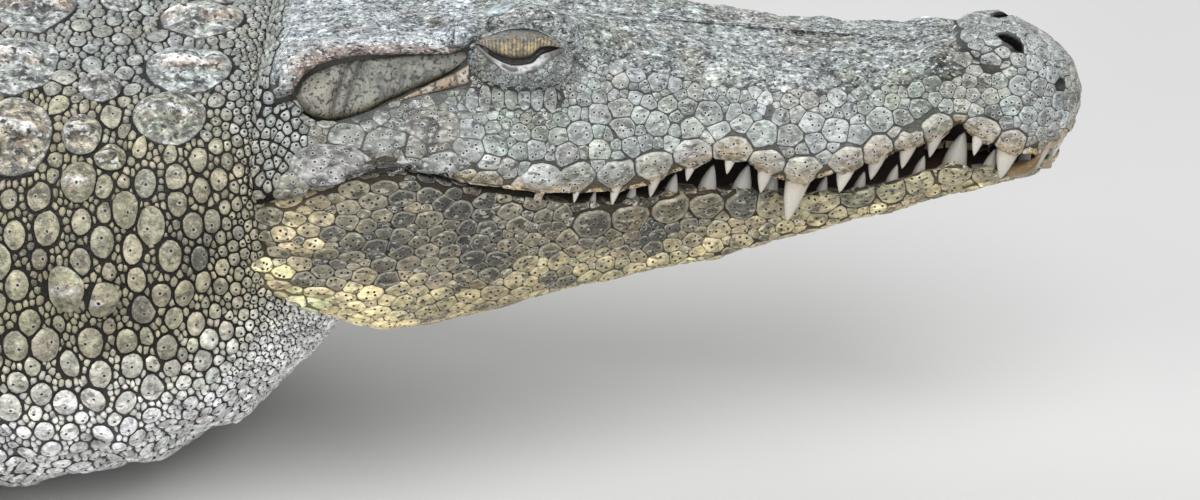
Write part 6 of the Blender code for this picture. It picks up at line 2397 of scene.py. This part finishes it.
class CROCODILE_OT_ears(bpy.types.Operator):
    """Makes the ear flaps, the bars in front of them and the rolled edges of the skull's table above"""

    bl_idname = "crocodile.ears"
    bl_label = "Ear flaps and rims"

    def execute(self, context):
        self.colours = context.scene.crocodile_colours
        for name, build, material in (
            ("ear_flaps", self.flap, "ear_skin"), ("ear_bars", self.bar, "ear_skin"),
            ("table_rims", self.rim, "hide_crown"),
        ):
            mesh = bmesh.new()
            mesh.verts.layers.float_color.new("Marking")
            for side in SIDES:
                build(mesh, side)
            hand_over(to_object(mesh, name), material, "hide")
        return {"FINISHED"}

    def leaf(self, mesh, side, edges, form, steps, rows):
        """A leaf over the head between two edges: form gives lift and colour from s, run, t, w and width."""
        made, t, w = sheet(mesh, steps, rows)
        start, end = edges[0][0][0], edges[0][-1][0]
        s = start + (end - start) * t
        top, low = (along(edge, 1, s) for edge in edges)
        run = top + (low - top) * w
        where = np.stack([s, run * RUN_WIDTH, side + 0 * s], axis=1)
        lift, tone = form(where, t, w, low - top)
        point = raised(head_section, s, run, RUN_STEP, lift)
        paint(mesh, made, place(s, side * point[:, 0], point[:, 1] + MOUTH_HEIGHT), tone)
        thicken(mesh, made, (0, side, 0.5), EAR_THICKNESS)

    def flap(self, mesh, side):
        def form(where, t, w, width):
            wide = np.clip(width / 0.9, 0, 1)
            plump = np.clip(1 - (2 * w - 1) ** 4, 0, 1) ** 0.5 * wide
            pad = np.exp(-(((t - 0.86) / 0.12) ** 2) - (((w - 0.6) / 0.34) ** 2))
            fold = np.sin(t * 88 + w * 9) * bump(t, 0.62, 0.15) * smooth(w, 0.15, 0.5)
            groove = bump(t - 0.1 * w, 0.7, 0.016) + bump(t - 0.1 * w, 0.63, 0.012)
            lift = -0.0066 + 0.0042 * plump + 0.0056 * pad + 0.0004 * fold * wide - 0.0014 * groove * wide
            lift += 0.0007 * cloud(where, 0.006, 31) * wide
            dark = 0.75 * smooth(cloud(where, 0.0032, 34), 0.15, 0.5) * (1 - pad)
            tone = layered(
                (0.195, 0.194, 0.162), ((0.285, 0.262, 0.215), pad), ((0.06, 0.062, 0.055), dark),
                # Painted shade: near-black in the flap's sunk grooves.
                ((0.095, 0.08, 0.045), smooth(w, 0.88, 1.0)), ((0.03, 0.028, 0.024), 0.7 * groove * wide),
            )
            return lift, tone * (1 + 0.25 * cloud(where, 0.007, 33))[:, None]

        self.leaf(mesh, side, (EAR_TOP, EAR_LOW), form, 130, 36)

    def bar(self, mesh, side):
        def form(where, t, w, width):
            wide = np.clip(width / 0.3, 0.15, 1)
            joint = bump(t + 0.05 * w, 0.2, 0.02)
            lift = -0.0022 + 0.0034 * np.clip(1 - np.abs(2 * w - 1) ** 3, 0, 1) ** 0.6 * wide
            lift -= 0.0012 * joint
            # Painted shade: dark in the bar's sunk joint and along both its edges.
            dark = np.clip(joint + smooth(np.abs(2 * w - 1), 0.8, 1.0), 0, 1) * 0.8
            return lift, layered(
                (0.285, 0.222, 0.16), ((0.4, 0.35, 0.28), smooth(cloud(where, 0.006, 35), -0.2, 0.4)),
                ((0.06, 0.04, 0.025), dark),
            )

        self.leaf(mesh, side, (BAR_TOP, BAR_LOW), form, 60, 20)

    def rim(self, mesh, side):
        table = [(t, s, run) for t, (s, run) in zip(np.linspace(0, 1, len(RIM_ROLL)), RIM_ROLL)]

        def line(t, lift):
            s, run = along(table, 1, t), along(table, 2, t)
            point = raised(head_section, s, run, RUN_STEP, lift + 0 * s)
            return place(s, side * point[:, 0], point[:, 1] + MOUTH_HEIGHT), s, run

        made, u, v = sheet(mesh, 90, 24)
        centre, s, run = line(u, 0.0004)
        way = line(np.minimum(u + 0.02, 1), 0.0004)[0] - line(np.maximum(u - 0.02, 0), 0.0004)[0]
        way /= np.linalg.norm(way, axis=1)[:, None]
        out = line(u, 0.01)[0] - centre
        out -= way * (out * way).sum(1)[:, None]
        out /= np.linalg.norm(out, axis=1)[:, None]
        across = np.cross(way, out) * -side
        wide = np.interp(u, (0, 0.12, 0.35, 0.6, 0.8, 1), (0.0026, 0.0044, 0.0058, 0.0062, 0.0054, 0.0034))
        wide = wide * np.clip(np.minimum(u, 1 - u) * 16, 0, 1) ** 0.5
        angle = 2 * np.pi * v
        points = centre + across * (wide * np.cos(angle))[:, None]
        points = points + out * (0.78 * wide * np.sin(angle))[:, None]
        points += out * (0.0006 * cloud(points, 0.007, 37))[:, None]
        tone = markings_and_painted_light(points, np.stack([0 * s + HEAD, s, run, side + 0 * s], axis=1), self.colours)
        # The roll's underside brown, partly its own colour, partly painted shade; its top made brighter as painted
        # light.
        tone = mixed(tone, (0.19, 0.125, 0.095), 0.75 * smooth(-np.cos(angle), 0.15, 0.75))
        tone = mixed(tone, tone * 1.35, smooth(np.cos(angle), 0.2, 0.9))
        paint(mesh, made, points, tone)
        bmesh.ops.remove_doubles(mesh, verts=made, dist=MERGE)


class CROCODILE_OT_stage(bpy.types.Operator):
    """Makes the floor, the lights and the camera"""

    bl_idname = "crocodile.stage"
    bl_label = "Stage"

    def execute(self, context):
        stage = context.scene.crocodile_stage
        mesh = bmesh.new()
        bmesh.ops.create_grid(mesh, x_segments=1, y_segments=1, size=30)
        floor = to_object(mesh, "floor", False)
        if floor.data.polygons[0].normal.z < 0:
            floor.data.flip_normals()
        tree, shader, where = start_material("floor_pale", 0.75, 0.3)
        grain = noise(tree, where, 6.0, 3.0)
        tone = tuple(stage.floor)
        colour = blend(tree, grain, (*(0.97 * c for c in tone), 1), (*(1.03 * c for c in tone), 1))
        tree.links.new(colour, shader.inputs["Base Color"])
        floor.data.materials.append(bpy.data.materials["floor_pale"])
        floor.location.z = -0.0002
        aim = Vector((X_TIP - 0.266, Y_AXIS - 0.08, 0.159))
        rump, tail = Vector((-0.4, 0, 0.1)), Vector((-0.8, 0, 0.1))
        self.light("key", aim + Vector((0.5, -0.9, 2.3)), aim, 2.2, stage.key)
        self.light("fill", aim + Vector((-0.6, -2.4, 0.9)), aim, 2.0, stage.fill)
        self.light("back", Vector((-0.6, 1.8, 2.0)), rump, 2.4, stage.key * 0.8)
        self.light("tail", Vector((-1.4, -1.6, 2.2)), tail, 2.4, stage.key * 0.8)
        world = bpy.data.worlds.new("soft_sky")
        world.use_nodes = True
        world.node_tree.nodes["Background"].inputs["Color"].default_value = (0.93, 0.96, 1.0, 1)
        world.node_tree.nodes["Background"].inputs["Strength"].default_value = stage.sky
        context.scene.world = world
        context.scene.view_settings.view_transform = "Standard"
        lens = bpy.data.cameras.new("view")
        lens.lens = stage.lens
        lens.sensor_width = 36
        lens.clip_start, lens.clip_end = 0.05, 60
        camera = bpy.data.objects.new("view", lens)
        away = Vector((0, -math.cos(stage.elevation), math.sin(stage.elevation))) * stage.distance
        camera.location = aim + away
        camera.rotation_euler = (math.pi / 2 - stage.elevation, 0, 0)
        context.scene.collection.objects.link(camera)
        context.scene.camera = camera
        return {"FINISHED"}

    def light(self, name, at, aim, size, power):
        data = bpy.data.lights.new(name, "AREA")
        data.shape, data.size, data.energy = "DISK", size, power
        lamp = bpy.data.objects.new(name, data)
        lamp.location = at
        lamp.rotation_euler = (aim - at).to_track_quat("-Z", "Y").to_euler()
        bpy.context.scene.collection.objects.link(lamp)


PIECES = (
    CROCODILE_OT_finishes, CROCODILE_OT_skin, CROCODILE_OT_scales, CROCODILE_OT_crest, CROCODILE_OT_teeth,
    CROCODILE_OT_claws, CROCODILE_OT_eyes, CROCODILE_OT_ears, CROCODILE_OT_stage,
)


class CROCODILE_PT_panel(bpy.types.Panel):
    """The animal's settings and the pieces to make"""

    bl_idname = "CROCODILE_PT_panel"
    bl_label = "Crocodile"
    bl_space_type = "VIEW_3D"
    bl_region_type = "UI"
    bl_category = "Crocodile"

    def draw(self, context):
        for group in ("crocodile_colours", "crocodile_scales", "crocodile_stage"):
            box = self.layout.box()
            settings = getattr(context.scene, group)
            for key in settings.__annotations__:
                box.prop(settings, key)
        for piece in PIECES:
            self.layout.operator(piece.bl_idname)


CLASSES = (CrocodileColours, CrocodileScales, CrocodileStage, *PIECES, CROCODILE_PT_panel)


def register():
    for cls in CLASSES:
        bpy.utils.register_class(cls)
    bpy.types.Scene.crocodile_colours = PointerProperty(type=CrocodileColours)
    bpy.types.Scene.crocodile_scales = PointerProperty(type=CrocodileScales)
    bpy.types.Scene.crocodile_stage = PointerProperty(type=CrocodileStage)


def unregister():
    for key in ("crocodile_colours", "crocodile_scales", "crocodile_stage"):
        delattr(bpy.types.Scene, key)
    for cls in reversed(CLASSES):
        bpy.utils.unregister_class(cls)


def main():
    register()
    for piece in PIECES:
        group, name = piece.bl_idname.split(".")
        getattr(getattr(bpy.ops, group), name)()


if __name__ == "__main__":
    main()
